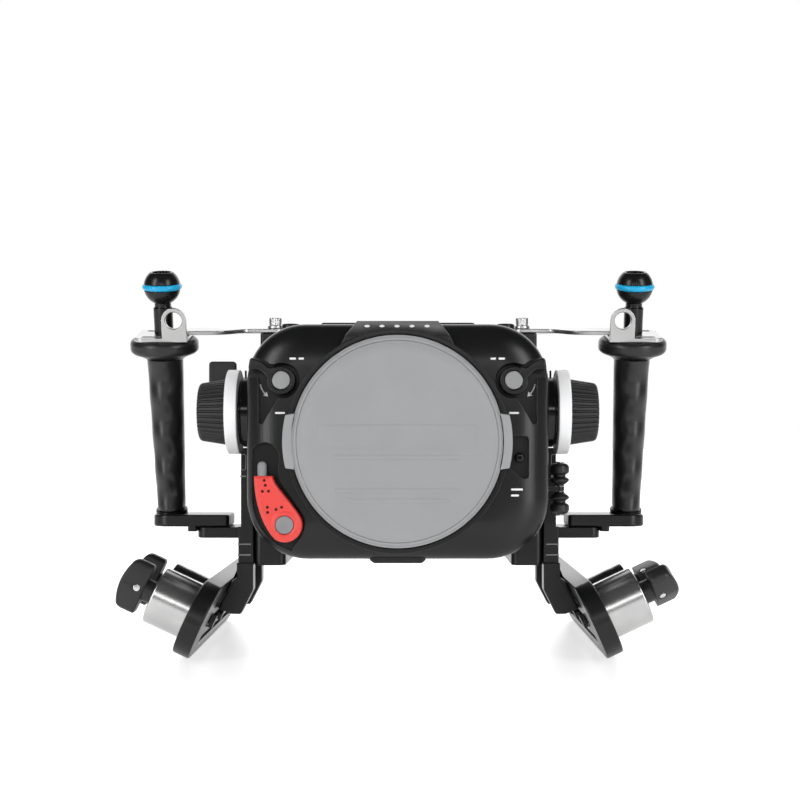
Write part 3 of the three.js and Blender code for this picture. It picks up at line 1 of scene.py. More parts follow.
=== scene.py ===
# The looks of an underwater camera housing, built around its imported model. The scene is in metres, +Z up.
# Shapes are worked out in millimetres in the case's own frame: X across, Y back from its front face, Z up.
import json
import math

import bmesh
import bpy
import numpy as np
from mathutils import Matrix, Vector


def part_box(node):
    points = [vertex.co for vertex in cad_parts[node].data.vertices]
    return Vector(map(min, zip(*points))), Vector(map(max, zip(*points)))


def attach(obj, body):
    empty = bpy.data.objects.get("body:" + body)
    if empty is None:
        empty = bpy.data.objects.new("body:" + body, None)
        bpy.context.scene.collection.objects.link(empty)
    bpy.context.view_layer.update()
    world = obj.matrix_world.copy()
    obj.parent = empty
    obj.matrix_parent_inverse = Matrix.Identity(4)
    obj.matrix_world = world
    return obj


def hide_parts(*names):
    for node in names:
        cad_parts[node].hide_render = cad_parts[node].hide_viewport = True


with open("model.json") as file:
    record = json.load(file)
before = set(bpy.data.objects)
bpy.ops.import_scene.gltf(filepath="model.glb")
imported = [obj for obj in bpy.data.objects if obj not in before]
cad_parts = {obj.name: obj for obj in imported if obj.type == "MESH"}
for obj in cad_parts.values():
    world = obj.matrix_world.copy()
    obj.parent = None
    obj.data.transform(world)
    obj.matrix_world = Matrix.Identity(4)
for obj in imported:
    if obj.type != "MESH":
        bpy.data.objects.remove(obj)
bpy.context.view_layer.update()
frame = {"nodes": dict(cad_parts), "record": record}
bodyOf = {node: body for body, nodes in frame["record"]["behaviour"]["bodies"].items() for node in nodes}

mm = 0.001
turn = 2 * math.pi
quarter = math.pi / 2
capDepth = 14.0  # the port cap's face stands this far before the case's front face
origin = np.array([0.0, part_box("port_cap")[0].y / mm + capDepth, 0.0])
seat = 0.3  # the gap between pieces that touch
stemBore = 1.8  # for the stems of the push buttons
studBore = 3.3  # for the studs of the ball mounts and the strap bolts
through = 3.0  # how far a cutter runs past what it cuts

# Camera: where the photograph was taken from, in the case's frame
camera = {
    "pixels": 800,
    "focalPixels": 1400.0,
    "across": 7.7,
    "height": 149.0,
    "distance": 900.0,
    "axisX": 409.5,
    "axisY": 435.0,
    "sensor": 36.0,
}


# The case-frame point at depth y that shows at pixel (px, py) of the photograph
def pixelPoint(px, py, y):
    reach = (camera["distance"] + y) / camera["focalPixels"]
    return np.array([
        camera["across"] + (px - camera["axisX"]) * reach,
        y,
        camera["height"] + (camera["axisY"] - py) * reach,
    ])


def linked(name, data):
    made = bpy.data.objects.new(name, data)
    bpy.context.scene.collection.objects.link(made)
    return made


def makeCamera():
    data = bpy.data.cameras.new("viewpoint")
    data.sensor_width = camera["sensor"]
    data.lens = camera["sensor"] * camera["focalPixels"] / camera["pixels"]
    middle = camera["pixels"] / 2
    data.shift_x = (middle - camera["axisX"]) / camera["pixels"]
    data.shift_y = (camera["axisY"] - middle) / camera["pixels"]
    data.clip_start, data.clip_end = 0.05, 40.0
    viewpoint = linked("viewpoint", data)
    place = np.array([camera["across"], -camera["distance"], camera["height"]]) + origin
    viewpoint.location = place * mm
    viewpoint.rotation_euler = (quarter, 0.0, 0.0)
    bpy.context.scene.camera = viewpoint


makeCamera()
print("camera set")


# Which two axes an outline lies in, and which axis it is carried along
planes = {"x": (1, 2, 0), "y": (0, 2, 1), "z": (0, 1, 2)}


# Faces (i, j), (i, j + 1), (i + 1, j + 1), (i + 1, j) of rows of points, the last column joined to the first
def gridFaces(rows, columns):
    i, j = np.meshgrid(np.arange(rows - 1), np.arange(columns), indexing="ij")
    ahead = (j + 1) % columns
    corners = [i * columns + j, i * columns + ahead, (i + 1) * columns + ahead, (i + 1) * columns + j]
    return np.stack(corners, -1).reshape(-1, 4).tolist()


# Turned: point(s, t) = centre + radius(s) (cos t, sin t) + height(s) along the axis, less depth(s) ridge(t)
def spun(axis, profile, centre=(0, 0, 0), count=96, ridge=None, depth=0.0):
    radius, height = np.array(profile, float).T
    t = np.arange(count) * turn / count
    reach = radius[:, None] + np.zeros(count)
    if ridge is not None:
        reach = reach - np.broadcast_to(depth, radius.shape)[:, None] * ridge(t)
    across, up, along = planes[axis]
    points = np.zeros((len(radius), count, 3))
    points[..., across] = reach * np.cos(t)
    points[..., up] = reach * np.sin(t)
    points[..., along] = height[:, None]
    return points.reshape(-1, 3) + np.array(centre, float), gridFaces(len(radius), count)


# A line of corners (a, b, radius), where corner B gives way to (1-s)^2 A + 2s(1-s) B + s^2 C on its two edges
def softened(corners, closed=False, steps=5):
    points = np.array([corner[:2] for corner in corners], float)
    line = []
    for k, here in enumerate(points):
        radius = corners[k][2] if len(corners[k]) > 2 else 0
        if radius == 0 or (not closed and k in (0, len(points) - 1)):
            line.append(here[None])
            continue
        back, ahead = points[k - 1] - here, points[(k + 1) % len(points)] - here
        backLength, aheadLength = np.linalg.norm(back), np.linalg.norm(ahead)
        reach = min(radius, backLength / 2.05, aheadLength / 2.05)
        s = np.linspace(0, 1, steps + 1)[:, None]
        first, last = here + back / backLength * reach, here + ahead / aheadLength * reach
        line.append((1 - s) ** 2 * first + 2 * s * (1 - s) * here + s**2 * last)
    return np.concatenate(line)


# Points on a circle: centre + radius (cos a, sin a) for a from start to end
def arc(centre, radius, start, end, steps=12):
    a = np.linspace(start, end, steps + 1)
    return np.stack([centre[0] + radius * np.cos(a), centre[1] + radius * np.sin(a)], -1)


def circle(centre, radius, count):
    return arc(centre, radius, 0, turn, count)[:-1]


# A reach from near to far on the positive side, or its mirror image
def sided(side, near, far):
    return tuple(sorted((side * near, side * far)))


# A rectangle with round corners, those on the far side of the first axis with a radius of their own
def roundRect(across, up, radius, farRadius=None, steps=8):
    far = radius if farRadius is None else farRadius
    return np.concatenate([
        arc((across[1] - far, up[0] + far), far, -quarter, 0, steps),
        arc((across[1] - far, up[1] - far), far, 0, quarter, steps),
        arc((across[0] + radius, up[1] - radius), radius, quarter, 2 * quarter, steps),
        arc((across[0] + radius, up[0] + radius), radius, 2 * quarter, 3 * quarter, steps),
    ])


# The outward normal at each point of a closed outline, stretched so that an inset moves the edges evenly
def outlineNormals(outline):
    ahead = np.roll(outline, -1, 0) - outline
    ahead = ahead / np.maximum(np.linalg.norm(ahead, axis=1), 1e-9)[:, None]
    area = np.sum(outline[:, 0] * np.roll(outline[:, 1], -1) - np.roll(outline[:, 0], -1) * outline[:, 1])
    edge = np.stack([ahead[:, 1], -ahead[:, 0]], -1) * np.sign(area)
    normal = edge + np.roll(edge, 1, 0)
    normal = normal / np.maximum(np.linalg.norm(normal, axis=1), 1e-9)[:, None]
    return normal / np.maximum(np.sum(normal * edge, 1), 0.5)[:, None]


# Levels (inset, height) of a slab whose two edges are rounded: inset e (1 - sin a), height e (1 - cos a)
def edged(low, high, edge=0.8, highEdge=None, steps=4):
    far = edge if highEdge is None else highEdge
    a = np.linspace(0, quarter, steps + 1)
    first = np.stack([edge * (1 - np.sin(a)), low + edge * (1 - np.cos(a))], -1)
    last = np.stack([far * (1 - np.sin(a)), high - far * (1 - np.cos(a))], -1)[::-1]
    return np.concatenate([first if edge else first[:1], last if far else last[:1]])


# The faces of a skin over rows of points, with flat ends
def skinFaces(rows, count):
    ends = [list(range(count)), list(range((rows - 1) * count, rows * count))]
    return gridFaces(rows, count) + ends


# Carried along an axis: point(k, t) = outline(t) - inset(k) normal(t) at height(k), flat at both ends
def slab(axis, outline, levels, centre=(0, 0, 0)):
    outline = np.array(outline, float)
    gap = np.linalg.norm(outline - np.roll(outline, 1, 0), axis=1)
    outline = outline[gap > 1e-6]
    levels = np.array(levels, float)
    normal = outlineNormals(outline)
    across, up, along = planes[axis]
    points = np.zeros((len(levels), len(outline), 3))
    points[..., [across, up]] = outline[None] - levels[:, 0, None, None] * normal[None]
    points[..., along] = levels[:, 1, None]
    return points.reshape(-1, 3) + np.array(centre, float), skinFaces(len(levels), len(outline))


# A skin over rings of points, flat at both ends
def lofted(rings):
    rings = np.array(rings, float)
    return rings.reshape(-1, 3), skinFaces(*rings.shape[:2])


# A cutter through a wall from low to high, flared by a chamfer at both mouths
def throughCut(axis, outline, low, high, chamfer):
    levels = [(-chamfer, low - through), (-chamfer, low), (0, low + chamfer)]
    levels += [(0, high - chamfer), (-chamfer, high), (-chamfer, high + through)]
    return slab(axis, outline, levels)


def block(across, deep, up, edge=0.0):
    rectangle = [(across[0], up[0]), (across[1], up[0]), (across[1], up[1]), (across[0], up[1])]
    if edge:
        rectangle = softened([(a, b, edge) for a, b in rectangle], True)
    return slab("y", rectangle, edged(deep[0], deep[1], edge))


def rod(axis, reach, radius, centre=(0, 0, 0), count=48, edge=0.0):
    corners = [(0, reach[0]), (radius, reach[0], edge), (radius, reach[1], edge), (0, reach[1])]
    return spun(axis, softened(corners, steps=4), centre, count)


def shifted(solid, place):
    return solid[0] + np.array(place, float), solid[1]


def mirrored(solid):
    return solid[0] * np.array([-1, 1, 1]), [face[::-1] for face in solid[1]]


# x' = x cos a + z sin a, z' = z cos a - x sin a about an axis along Y, or the like about X
def turned(points, axis, angle):
    first, second = {"x": (2, 1), "y": (0, 2)}[axis]
    result = points.copy()
    result[:, first] = points[:, first] * math.cos(angle) + points[:, second] * math.sin(angle)
    result[:, second] = points[:, second] * math.cos(angle) - points[:, first] * math.sin(angle)
    return result


# A mesh with its doubles merged and its faces pointing out, still in millimetres
def rawMesh(solid, name):
    mesh = bpy.data.meshes.new(name)
    mesh.from_pydata(solid[0].tolist(), [], solid[1])
    work = bmesh.new()
    work.from_mesh(mesh)
    bmesh.ops.remove_doubles(work, verts=work.verts, dist=1e-4)
    bmesh.ops.recalc_face_normals(work, faces=work.faces)
    work.to_mesh(mesh)
    work.free()
    return mesh


def rawObject(solid, name):
    return linked(name, rawMesh(solid, name))


# The first solid joined with, or cut by, the others
def combined(base, others, operation):
    target = rawObject(base, "base")
    tools = [rawObject(other, "tool") for other in others]
    for tool in tools:
        step = target.modifiers.new("combine", "BOOLEAN")
        step.operation, step.solver, step.object = operation, "MANIFOLD", tool
    graph = bpy.context.evaluated_depsgraph_get()
    result = target.evaluated_get(graph).to_mesh()
    points = np.empty(len(result.vertices) * 3)
    result.vertices.foreach_get("co", points)
    faces = [list(face.vertices) for face in result.polygons]
    for made in [target, *tools]:
        mesh = made.data
        bpy.data.objects.remove(made)
        bpy.data.meshes.remove(mesh)
    return points.reshape(-1, 3), faces


def joined(base, *others):
    return combined(base, others, "UNION")


def cut(base, *others):
    return combined(base, others, "DIFFERENCE")


# A finished piece in metres, smooth but for edges sharper than the limit, riding on its node's body
def piece(name, solid, finish, node, replaces=True, limit=34):
    mesh = rawMesh(solid, name)
    mesh.transform(Matrix.Scale(mm, 4) @ Matrix.Translation(origin.tolist()))
    work = bmesh.new()
    work.from_mesh(mesh)
    bmesh.ops.dissolve_degenerate(work, edges=work.edges, dist=1e-6)
    manySided = [face for face in work.faces if len(face.verts) > 4]
    bmesh.ops.triangulate(work, faces=manySided, ngon_method="BEAUTY")
    for face in work.faces:
        face.smooth = True
    for edge in work.edges:
        edge.smooth = len(edge.link_faces) == 2 and edge.calc_face_angle(0) < math.radians(limit)
    work.to_mesh(mesh)
    work.free()
    made = linked(name, mesh)
    weighted = made.modifiers.new("weighted", "WEIGHTED_NORMAL")
    weighted.keep_sharp = True
    mesh.materials.append(finish)
    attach(made, bodyOf[node])
    if replaces:
        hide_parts(node)
    return made


# The same piece on the right and mirrored on the left, for the nodes right_NAME and left_NAME
def pair(name, solid, finish, node=None, limit=34):
    node = name if node is None else node
    for side, shape in (("right", solid), ("left", mirrored(solid))):
        piece(f"{side}_{name}_look", shape, finish, f"{side}_{node}", node == name, limit)


# A socket of a material, on which - and * add Math nodes
class Signal:
    def __init__(self, finish, socket):
        self.finish, self.socket = finish, socket

    def mathNode(self, operation, first, second):
        return self.finish.node("ShaderNodeMath", {"operation": operation}, {0: first, 1: second})

    def __rsub__(self, other):
        return self.mathNode("SUBTRACT", other, self)

    def __mul__(self, other):
        return self.mathNode("MULTIPLY", self, other)


# A material under construction
class Finish:
    def __init__(self, name):
        self.material = bpy.data.materials.new(name)
        self.material.use_nodes = True
        self.tree = self.material.node_tree
        self.tree.nodes.clear()
        self.shader = self.tree.nodes.new("ShaderNodeBsdfPrincipled")
        output = self.tree.nodes.new("ShaderNodeOutputMaterial")
        self.tree.links.new(self.shader.outputs[0], output.inputs["Surface"])

    # Any node: its type, its settings, the values or links of its sockets, and the output that is wanted
    def node(self, kind, settings=None, sockets=None, output=0):
        made = self.tree.nodes.new(kind)
        for key, value in (settings or {}).items():
            setattr(made, key, value)
        for key, value in (sockets or {}).items():
            self.feed(made.inputs[key], value)
        return Signal(self, made.outputs[output])

    def feed(self, socket, value):
        if isinstance(value, Signal):
            self.tree.links.new(value.socket, socket)
        else:
            socket.default_value = value

    def set(self, **sockets):
        for key, value in sockets.items():
            self.feed(self.shader.inputs[key.replace("_", " ")], value)
        return self.material

    def place(self):
        return self.node("ShaderNodeTexCoord", output="Object")

    def dot(self, first, second):
        return self.node("ShaderNodeVectorMath", {"operation": "DOT_PRODUCT"}, {0: first, 1: second}, "Value")

    # Noise from 0 to 1 with grains of the given size in millimetres, stretched along the axes
    def noise(self, size, detail=2.0, stretch=(1, 1, 1)):
        factors = {0: self.place(), 1: tuple(1 / k for k in stretch)}
        scaled = self.node("ShaderNodeVectorMath", {"operation": "MULTIPLY"}, factors)
        sockets = {"Vector": scaled, "Scale": 1 / (size * mm), "Detail": detail}
        return self.node("ShaderNodeTexNoise", {}, sockets, "Fac")

    def between(self, mask, low, high):
        sockets = {"Value": mask, "To Min": low, "To Max": high}
        return self.node("ShaderNodeMapRange", {}, sockets, "Result")

    def within(self, mask, low, high):
        sockets = {"Value": mask, "From Min": low, "From Max": high}
        return self.node("ShaderNodeMapRange", {"interpolation_type": "SMOOTHSTEP"}, sockets, "Result")

    def mix(self, mask, first, second):
        sockets = {0: mask, 6: first, 7: second}
        return self.node("ShaderNodeMix", {"data_type": "RGBA"}, sockets, 2)

    # The normal as if edges were rounded to a radius in millimetres
    def roundedNormal(self, radius, samples=6):
        return self.node("ShaderNodeBevel", {"samples": samples}, {"Radius": radius * mm})

    # 1 along edges and 0 on open faces: how far the rounded normal leans from the true one
    def edges(self, radius, gain=6.0):
        true = self.node("ShaderNodeNewGeometry", output="Normal")
        lean = self.dot(self.roundedNormal(radius), true)
        return self.within((1 - lean) * gain, 0.05, 1.0)

    def bump(self, height, distance, strength=1.0, normal=None):
        sockets = {"Height": height, "Distance": distance * mm, "Strength": strength}
        if normal is not None:
            sockets["Normal"] = normal
        return self.node("ShaderNodeBump", {}, sockets)


def grey(level, warmth=0.0):
    return (level * (1 + warmth), level, level * (1 - warmth), 1.0)


# Bead-blasted black anodising: fine grain, faint cloudiness, and lighter along its edges: partly wear, partly
# a painted highlight on the rounded rims
def anodisedFinish(name, shade, roughness, wornHighlightShade, edgeRadius=0.45):
    finish = Finish(name)
    cloud = finish.noise(38, 3)
    # Painted highlight: the colour is lighter along edges, standing for the rims' highlights as well as wear,
    # patchy by noise
    wearAndPaintedHighlight = finish.edges(edgeRadius) * finish.between(finish.noise(9, 3), 0.45, 1.0)
    base = finish.mix(finish.within(cloud, 0.3, 0.7), grey(shade * 0.85, -0.02), grey(shade * 1.15, -0.02))
    return finish.set(
        Base_Color=finish.mix(wearAndPaintedHighlight, base, grey(wornHighlightShade)),
        Roughness=finish.between(finish.noise(1.1, 2), roughness - 0.04, roughness + 0.05),
        Normal=finish.bump(finish.noise(0.35, 1), 0.012, 0.35, finish.roundedNormal(edgeRadius)),
        Metallic=0.0,
        Specular_IOR_Level=0.38,
    )


# Moulded plastic: a soft orange peel, with its edges lighter in colour: partly wear, partly a painted
# highlight
def plasticFinish(name, colour, roughness, peel=0.02, grain=1.6, edgeRadius=0.35, variation=0.06):
    finish = Finish(name)
    cloud = finish.within(finish.noise(24, 3), 0.3, 0.7)
    darker = tuple(c * (1 - variation) for c in colour[:3]) + (1.0,)
    lighter = tuple(min(1.0, c * (1 + variation)) for c in colour[:3]) + (1.0,)
    # Painted highlight: a lighter colour laid along the edges by the edge mask, partly wear
    wornHighlight = tuple(min(1.0, c * 1.25 + 0.01) for c in colour[:3]) + (1.0,)
    return finish.set(
        Base_Color=finish.mix(finish.edges(edgeRadius) * 0.6, finish.mix(cloud, darker, lighter), wornHighlight),
        Roughness=finish.between(finish.noise(6, 2), roughness - 0.04, roughness + 0.06),
        Normal=finish.bump(finish.noise(grain, 2), peel, 0.4, finish.roundedNormal(edgeRadius)),
        Specular_IOR_Level=0.5,
    )


# Stainless steel with fine lines along one axis
def steelFinish(name, roughness, stretch, lineSize=0.5, depth=0.006, shade=0.74):
    finish = Finish(name)
    lines = finish.noise(lineSize, 3, stretch)
    smudge = finish.noise(14, 3)
    return finish.set(
        Base_Color=finish.mix(finish.within(smudge, 0.3, 0.75), grey(shade * 0.92), grey(shade, 0.01)),
        Roughness=finish.between(lines, roughness - 0.05, roughness + 0.08),
        Normal=finish.bump(lines, depth, 0.5, finish.roundedNormal(0.3)),
        Metallic=1.0,
    )


def acrylicFinish():
    finish = Finish("clear_acrylic")
    return finish.set(
        Base_Color=finish.mix(finish.noise(20, 2), (0.9, 0.95, 0.97, 1), (0.96, 0.98, 0.99, 1)),
        Roughness=finish.between(finish.noise(5, 2), 0.02, 0.05),
        Transmission_Weight=1.0,
        IOR=1.49,
    )


anodised = anodisedFinish("black_anodised", 0.006, 0.3, 0.08)
satinBlack = anodisedFinish("black_anodised_satin", 0.005, 0.32, 0.05)
glossBlack = anodisedFinish("black_gloss", 0.005, 0.12, 0.03, 0.3)
blackPlastic = plasticFinish("black_acetal", (0.011, 0.011, 0.0115, 1), 0.4)
rubber = plasticFinish("black_rubber", (0.012, 0.012, 0.0125, 1), 0.36, 0.03, 0.9, 0.6)
capGrey = plasticFinish("cap_grey", (0.305, 0.308, 0.315, 1), 0.52, 0.015, 2.0, 0.5, 0.02)
buttonGrey = plasticFinish("button_grey", (0.27, 0.272, 0.275, 1), 0.45, 0.01)
tipGrey = plasticFinish("tip_grey", (0.24, 0.24, 0.25, 1), 0.4, 0.01)
leverRed = plasticFinish("lever_red", (0.76, 0.056, 0.046, 1), 0.4, 0.01, 1.6, 0.5, 0.04)
ringWhite = plasticFinish("ring_white", (0.87, 0.87, 0.88, 1), 0.45, 0.006, 3.0, 0.4, 0.01)
ringBlue = plasticFinish("ring_blue", (0.01, 0.42, 0.74, 1), 0.35, 0.006)
markWhite = plasticFinish("mark_white", (0.8, 0.8, 0.8, 1), 0.6, 0.004, 1.0, 0.1, 0.03)
# Light grey for the rail's lines: a painted highlight colour, partly wear
highlightLineGrey = plasticFinish("highlight_line_grey", (0.22, 0.22, 0.22, 1), 0.5, 0.004, 1.0, 0.1, 0.03)
dotBlack = plasticFinish("dot_black", (0.012, 0.001, 0.001, 1), 0.85, 0.004, 1.0, 0.1, 0.05)
brushedSteel = steelFinish("brushed_steel", 0.34, (24, 1, 1), shade=0.56)
polishedSteel = steelFinish("polished_steel", 0.2, (1, 14, 14), 0.7, 0.006, 0.7)
ballBlack = anodisedFinish("black_anodised_ball", 0.006, 0.27, 0.04)
clearAcrylic = acrylicFinish()
print("materials made:", len(bpy.data.materials))


# The case: a rounded box in two shells that part across Y
case = {
    "halfWidth": 98.5,
    "bottom": 68.0,
    "top": 221.5,
    "lowerRadius": 40.0,
    "upperRadius": 38.3,
    "frontInset": 28.0,
    "frontRound": 16.0,
    "rearRound": 9.0,
    "frontWall": 14.0,
    "wall": 7.0,
    "parting": 75.0,
    "rear": 205.0,
}
port = {"height": 144.8, "bore": 60.0, "neck": 62.0, "flange": 66.0, "front": -11.0, "groove": 1.6}
collar = {"inner": 69.2, "outer": 72.2, "front": -2.6}
innerFlank = case["halfWidth"] - case["wall"]


# The case's outline in X and Z, drawn in by an inset: four corner arcs whose radius is less by the inset
def caseOutline(inset=0.0, steps=14):
    lower, upper, half = case["lowerRadius"], case["upperRadius"], case["halfWidth"]
    low, high = case["bottom"] + lower, case["top"] - upper
    return np.concatenate([
        arc((half - lower, low), lower - inset, -quarter, 0, steps),
        arc((half - upper, high), upper - inset, 0, quarter, steps),
        arc((upper - half, high), upper - inset, quarter, 2 * quarter, steps),
        arc((lower - half, low), lower - inset, 2 * quarter, 3 * quarter, steps),
    ])


# Rings of the case: outline(inset) at each depth
def caseRings(levels):
    rings = []
    for inset, depth in levels:
        outline = caseOutline(inset)
        rings.append(np.stack([outline[:, 0], np.full(len(outline), depth), outline[:, 1]], -1))
    return rings


def caseSlab(inset, reach):
    return lofted(caseRings([(inset, reach[0]), (inset, reach[1])]))


deck = {"halfWidth": 50.0, "chamfer": 3.0, "height": 223.5, "root": 210.0, "front": 28.0, "rear": 184.0}
hood = {"brow": 10.0, "front": -0.4, "back": 14.0}  # the sloped brow's height and its two depths
pad = {"halfWidth": 18.5, "front": 12.0, "rear": 176.0, "height": 65.3, "depth": 8.7}


def deckSlab(reach):
    flank, low = deck["halfWidth"] + deck["chamfer"], deck["height"] - deck["chamfer"]
    outline = [
        (-flank, deck["root"]),
        (flank, deck["root"]),
        (flank, low, 1.0),
        (deck["halfWidth"], deck["height"], 1.0),
        (-deck["halfWidth"], deck["height"], 1.0),
        (-flank, low, 1.0),
    ]
    return slab("y", softened(outline, True, 3), edged(reach[0], reach[1], 0.4, 0.0))


def padSlab(reach, frontEdge):
    top = pad["height"] + pad["depth"]
    outline = [
        (-pad["halfWidth"] + 2.5, pad["height"], 1.5),
        (pad["halfWidth"] - 2.5, pad["height"], 1.5),
        (pad["halfWidth"], pad["height"] + 2.5, 1.0),
        (pad["halfWidth"], top),
        (-pad["halfWidth"], top),
        (-pad["halfWidth"], pad["height"] + 2.5, 1.0),
    ]
    return slab("y", softened(outline, True, 3), edged(reach[0], reach[1], frontEdge, 0.0))


# The hood over the port: a rectangle with round front corners at each height
def hoodSolid():
    sections = [  # height, front half width, front depth, rear half width
        (deck["height"], 26.6, hood["back"], 26.6),
        (deck["height"] - hood["brow"], 33.6, hood["front"], 32.5),
        (deck["height"] - 10.5, 34.0, -1.2, 32.8),
        (deck["height"] - 11.2, 34.3, -1.3, 33.2),
        (deck["height"] - 24.5, 41.0, -2.4, 41.0),
        (deck["height"] - 33.5, 41.0, -2.4, 41.0),
    ]
    rings = []
    for height, half, front, rearHalf in sections:
        rear = deck["front"] + 2
        corners = [(-half, front, 1.4), (half, front, 1.4), (rearHalf, rear), (-rearHalf, rear)]
        outline = softened(corners, True, 4)
        rings.append(np.column_stack([outline, np.full(len(outline), height)]))
    return lofted(rings[::-1])


# A cutter sunk into the front face, flared by a small chamfer at its mouth
def sunk(outline, floor, chamfer=0.5, front=-16.0):
    return slab("y", outline, [(-chamfer, front), (-chamfer, 0.0), (0.0, chamfer), (0.0, floor)])


latch = {
    "x": 74.703,
    "z": 184.186,
    "radius": 9.1,
    "front": -3.4,
    "recess": 11.3,
    "floor": 10.0,
    "armFront": -4.6,
    "armRear": 0.3,
    "shaft": 3.6,
    "button": 5.8,
    "buttonFront": -4.0,
    "buttonRear": -0.4,
}

# Outlines from the latch's centre: out, up and the corner's radius
armOutline = [
    (0, 0),
    (8.6, 1.6, 1.0),
    (11.4, 5.0, 3.0),
    (14.9, 7.2, 2.5),
    (21.0, 6.3, 2.2),
    (19.8, 15.0, 3.0),
    (12.5, 12.2, 3.0),
    (10.2, 10.4, 1.5),
    (7.9, 8.1, 2.5),
    (4.2, 9.0),
]


arrowField = [
    (15.3, 6.6),
    (15.3, -27.9, 1.0),
    (12.6, -28.6, 2.0),
    (8.6, -21.6, 3.0),
    (0.8, -10.0),
    (0, 0),
]

armPath = [
    (0, 0),
    (3.7, 10.5),
    (7.1, 10.0, 2.0),
    (9.8, 12.4, 2.0),
    (13.4, 13.7, 3.0),
    (20.8, 16.3, 2.0),
    (29.3, 16.4),
    (29.3, 2.8),
]


# The latch's round seat, its arrow field and the path of its arm
def latchCutters():
    x, z, floor = latch["x"], latch["z"], latch["floor"]
    cutters = [sunk(circle((x, z), latch["recess"], 64), floor)]
    for corners in (arrowField, armPath):
        cutters.append(sunk(softened([(x + out, z + up, *rest) for out, up, *rest in corners], True), floor))
    return cutters


release = {"x": 78.6, "z": 134.4, "radius": 3.2, "front": 0.9, "rear": 3.2, "floor": 6.0}


def releaseCutter():
    left, right = release["x"] - 8.1, release["x"] + 6.0
    low, high = release["z"] - 13.6, release["z"] + 14.0
    corners = [
        (left, high, 1.0),
        (right, high, 3.0),
        (right, low, 3.0),
        (release["x"] + 1.4, low, 2.0),
        (left, release["z"] - 5.0, 1.0),
    ]
    guard = rod("y", (-20, 20), collar["outer"] + 0.4, (0, 0, port["height"]), 128)
    return cut(sunk(softened(corners, True), release["floor"]), guard)


lever = {
    "x": -72.313,
    "z": 91.389,
    "radius": 11.2,
    "length": 31.3,
    "topOuter": 19.7,
    "topInner": 8.1,
    "front": -5.0,
    "rear": 4.4,
    "start": math.radians(-125),
    "end": math.radians(30),
    "button": 5.8,
    "buttonFront": -5.8,
    "buttonRear": -2.2,
    "tipX": -14.7,
    "tipRadius": 2.9,
    "tipLow": 24.3,
    "tipHigh": 40.7,
    "tipY": -0.4,
    "shaft": 3.6,
    "clear": 4.2,
}
leverSeat = {
    "floor": 10.5,
    "rim": 4.2,
    "topX": -13.7,
    "topRise": 43.1,
    "topRadius": 9.8,
    "pivot": 12.6,
    "boss": 8.0,
}


# The port lever's seat: a round top, a waist, a round about the pivot, and open towards the case's edge
def leverCutter():
    x, z, floor = lever["x"], lever["z"], leverSeat["floor"]
    topX, topZ = x + leverSeat["topX"], z + leverSeat["topRise"]
    half, low = case["halfWidth"], case["bottom"]
    corners = [
        (topX + leverSeat["topRadius"], topZ, 3.0),
        (x - 4.9, z + 29.6, 6.0),
        (x + 11.7, z + 5.6, 4.0),
        (x + 11.7, z - 6.4, 4.0),
        (x + 3.3, z - 17.4, 3.0),
        (x + 3.3, low - 6),
        (-half - 6, low - 6),
        (-half - 6, topZ),
    ]
    hollow = joined(
        sunk(softened(corners, True), floor),
        sunk(circle((topX, topZ), leverSeat["topRadius"], 56), floor),
        sunk(circle((x, z), leverSeat["pivot"], 56), floor),
    )
    edge = slab("y", caseOutline(leverSeat["rim"]), [(0, -20.0), (0, floor + 0.01)])
    inside = combined(hollow, [edge], "INTERSECT")
    return cut(inside, rod("y", (lever["rear"] + seat, floor + 2), leverSeat["boss"], (x, 0, z)))


knob = {
    "y": 45.0,
    "z": 164.5,
    "glandRadius": 23.6,
    "glandInner": 98.8,
    "glandOuter": 105.8,
    "ringRadius": 28.4,
    "ringInner": 106.1,
    "ringOuter": 114.3,
    "gripInner": 114.6,
    "gripOuter": 133.6,
    "inner": 22.3,
    "outer": 19.2,
    "crown": 2.4,
    "ridges": 36,
    "ridgeDepth": 1.1,
    "boss": 24.6,
    "hub": 9.7,
    "shaft": 4.0,
    "neck": 9.0,
    "shaftInner": 84.0,
    "neckInner": 89.0,
}
bulkhead = {"x": 72.7, "y": 50.0, "radius": 6.3, "spot": 218.9, "top": 224.3, "neck": 4.2, "neckEnd": 208.0}
finger = {
    "x": 109.0,
    "y": 45.0,
    "low": 95.7,
    "high": 130.0,
    "pin": 2.0,
    "head": 3.2,
    "headHeight": 0.8,
    "lug": 3.0,
    "lugWidth": 6.2,
}


# The lug that carries the finger levers' pin, half way between the two levers
def fingerLug():
    half, middle = finger["lugWidth"] / 2, (finger["low"] + finger["high"]) / 2
    up = (middle - finger["lug"] / 2, middle + finger["lug"] / 2)
    arm = block((innerFlank, finger["x"]), (finger["y"] - half, finger["y"] + half), up)
    return joined(arm, rod("z", up, half, (finger["x"], finger["y"], 0), 40))


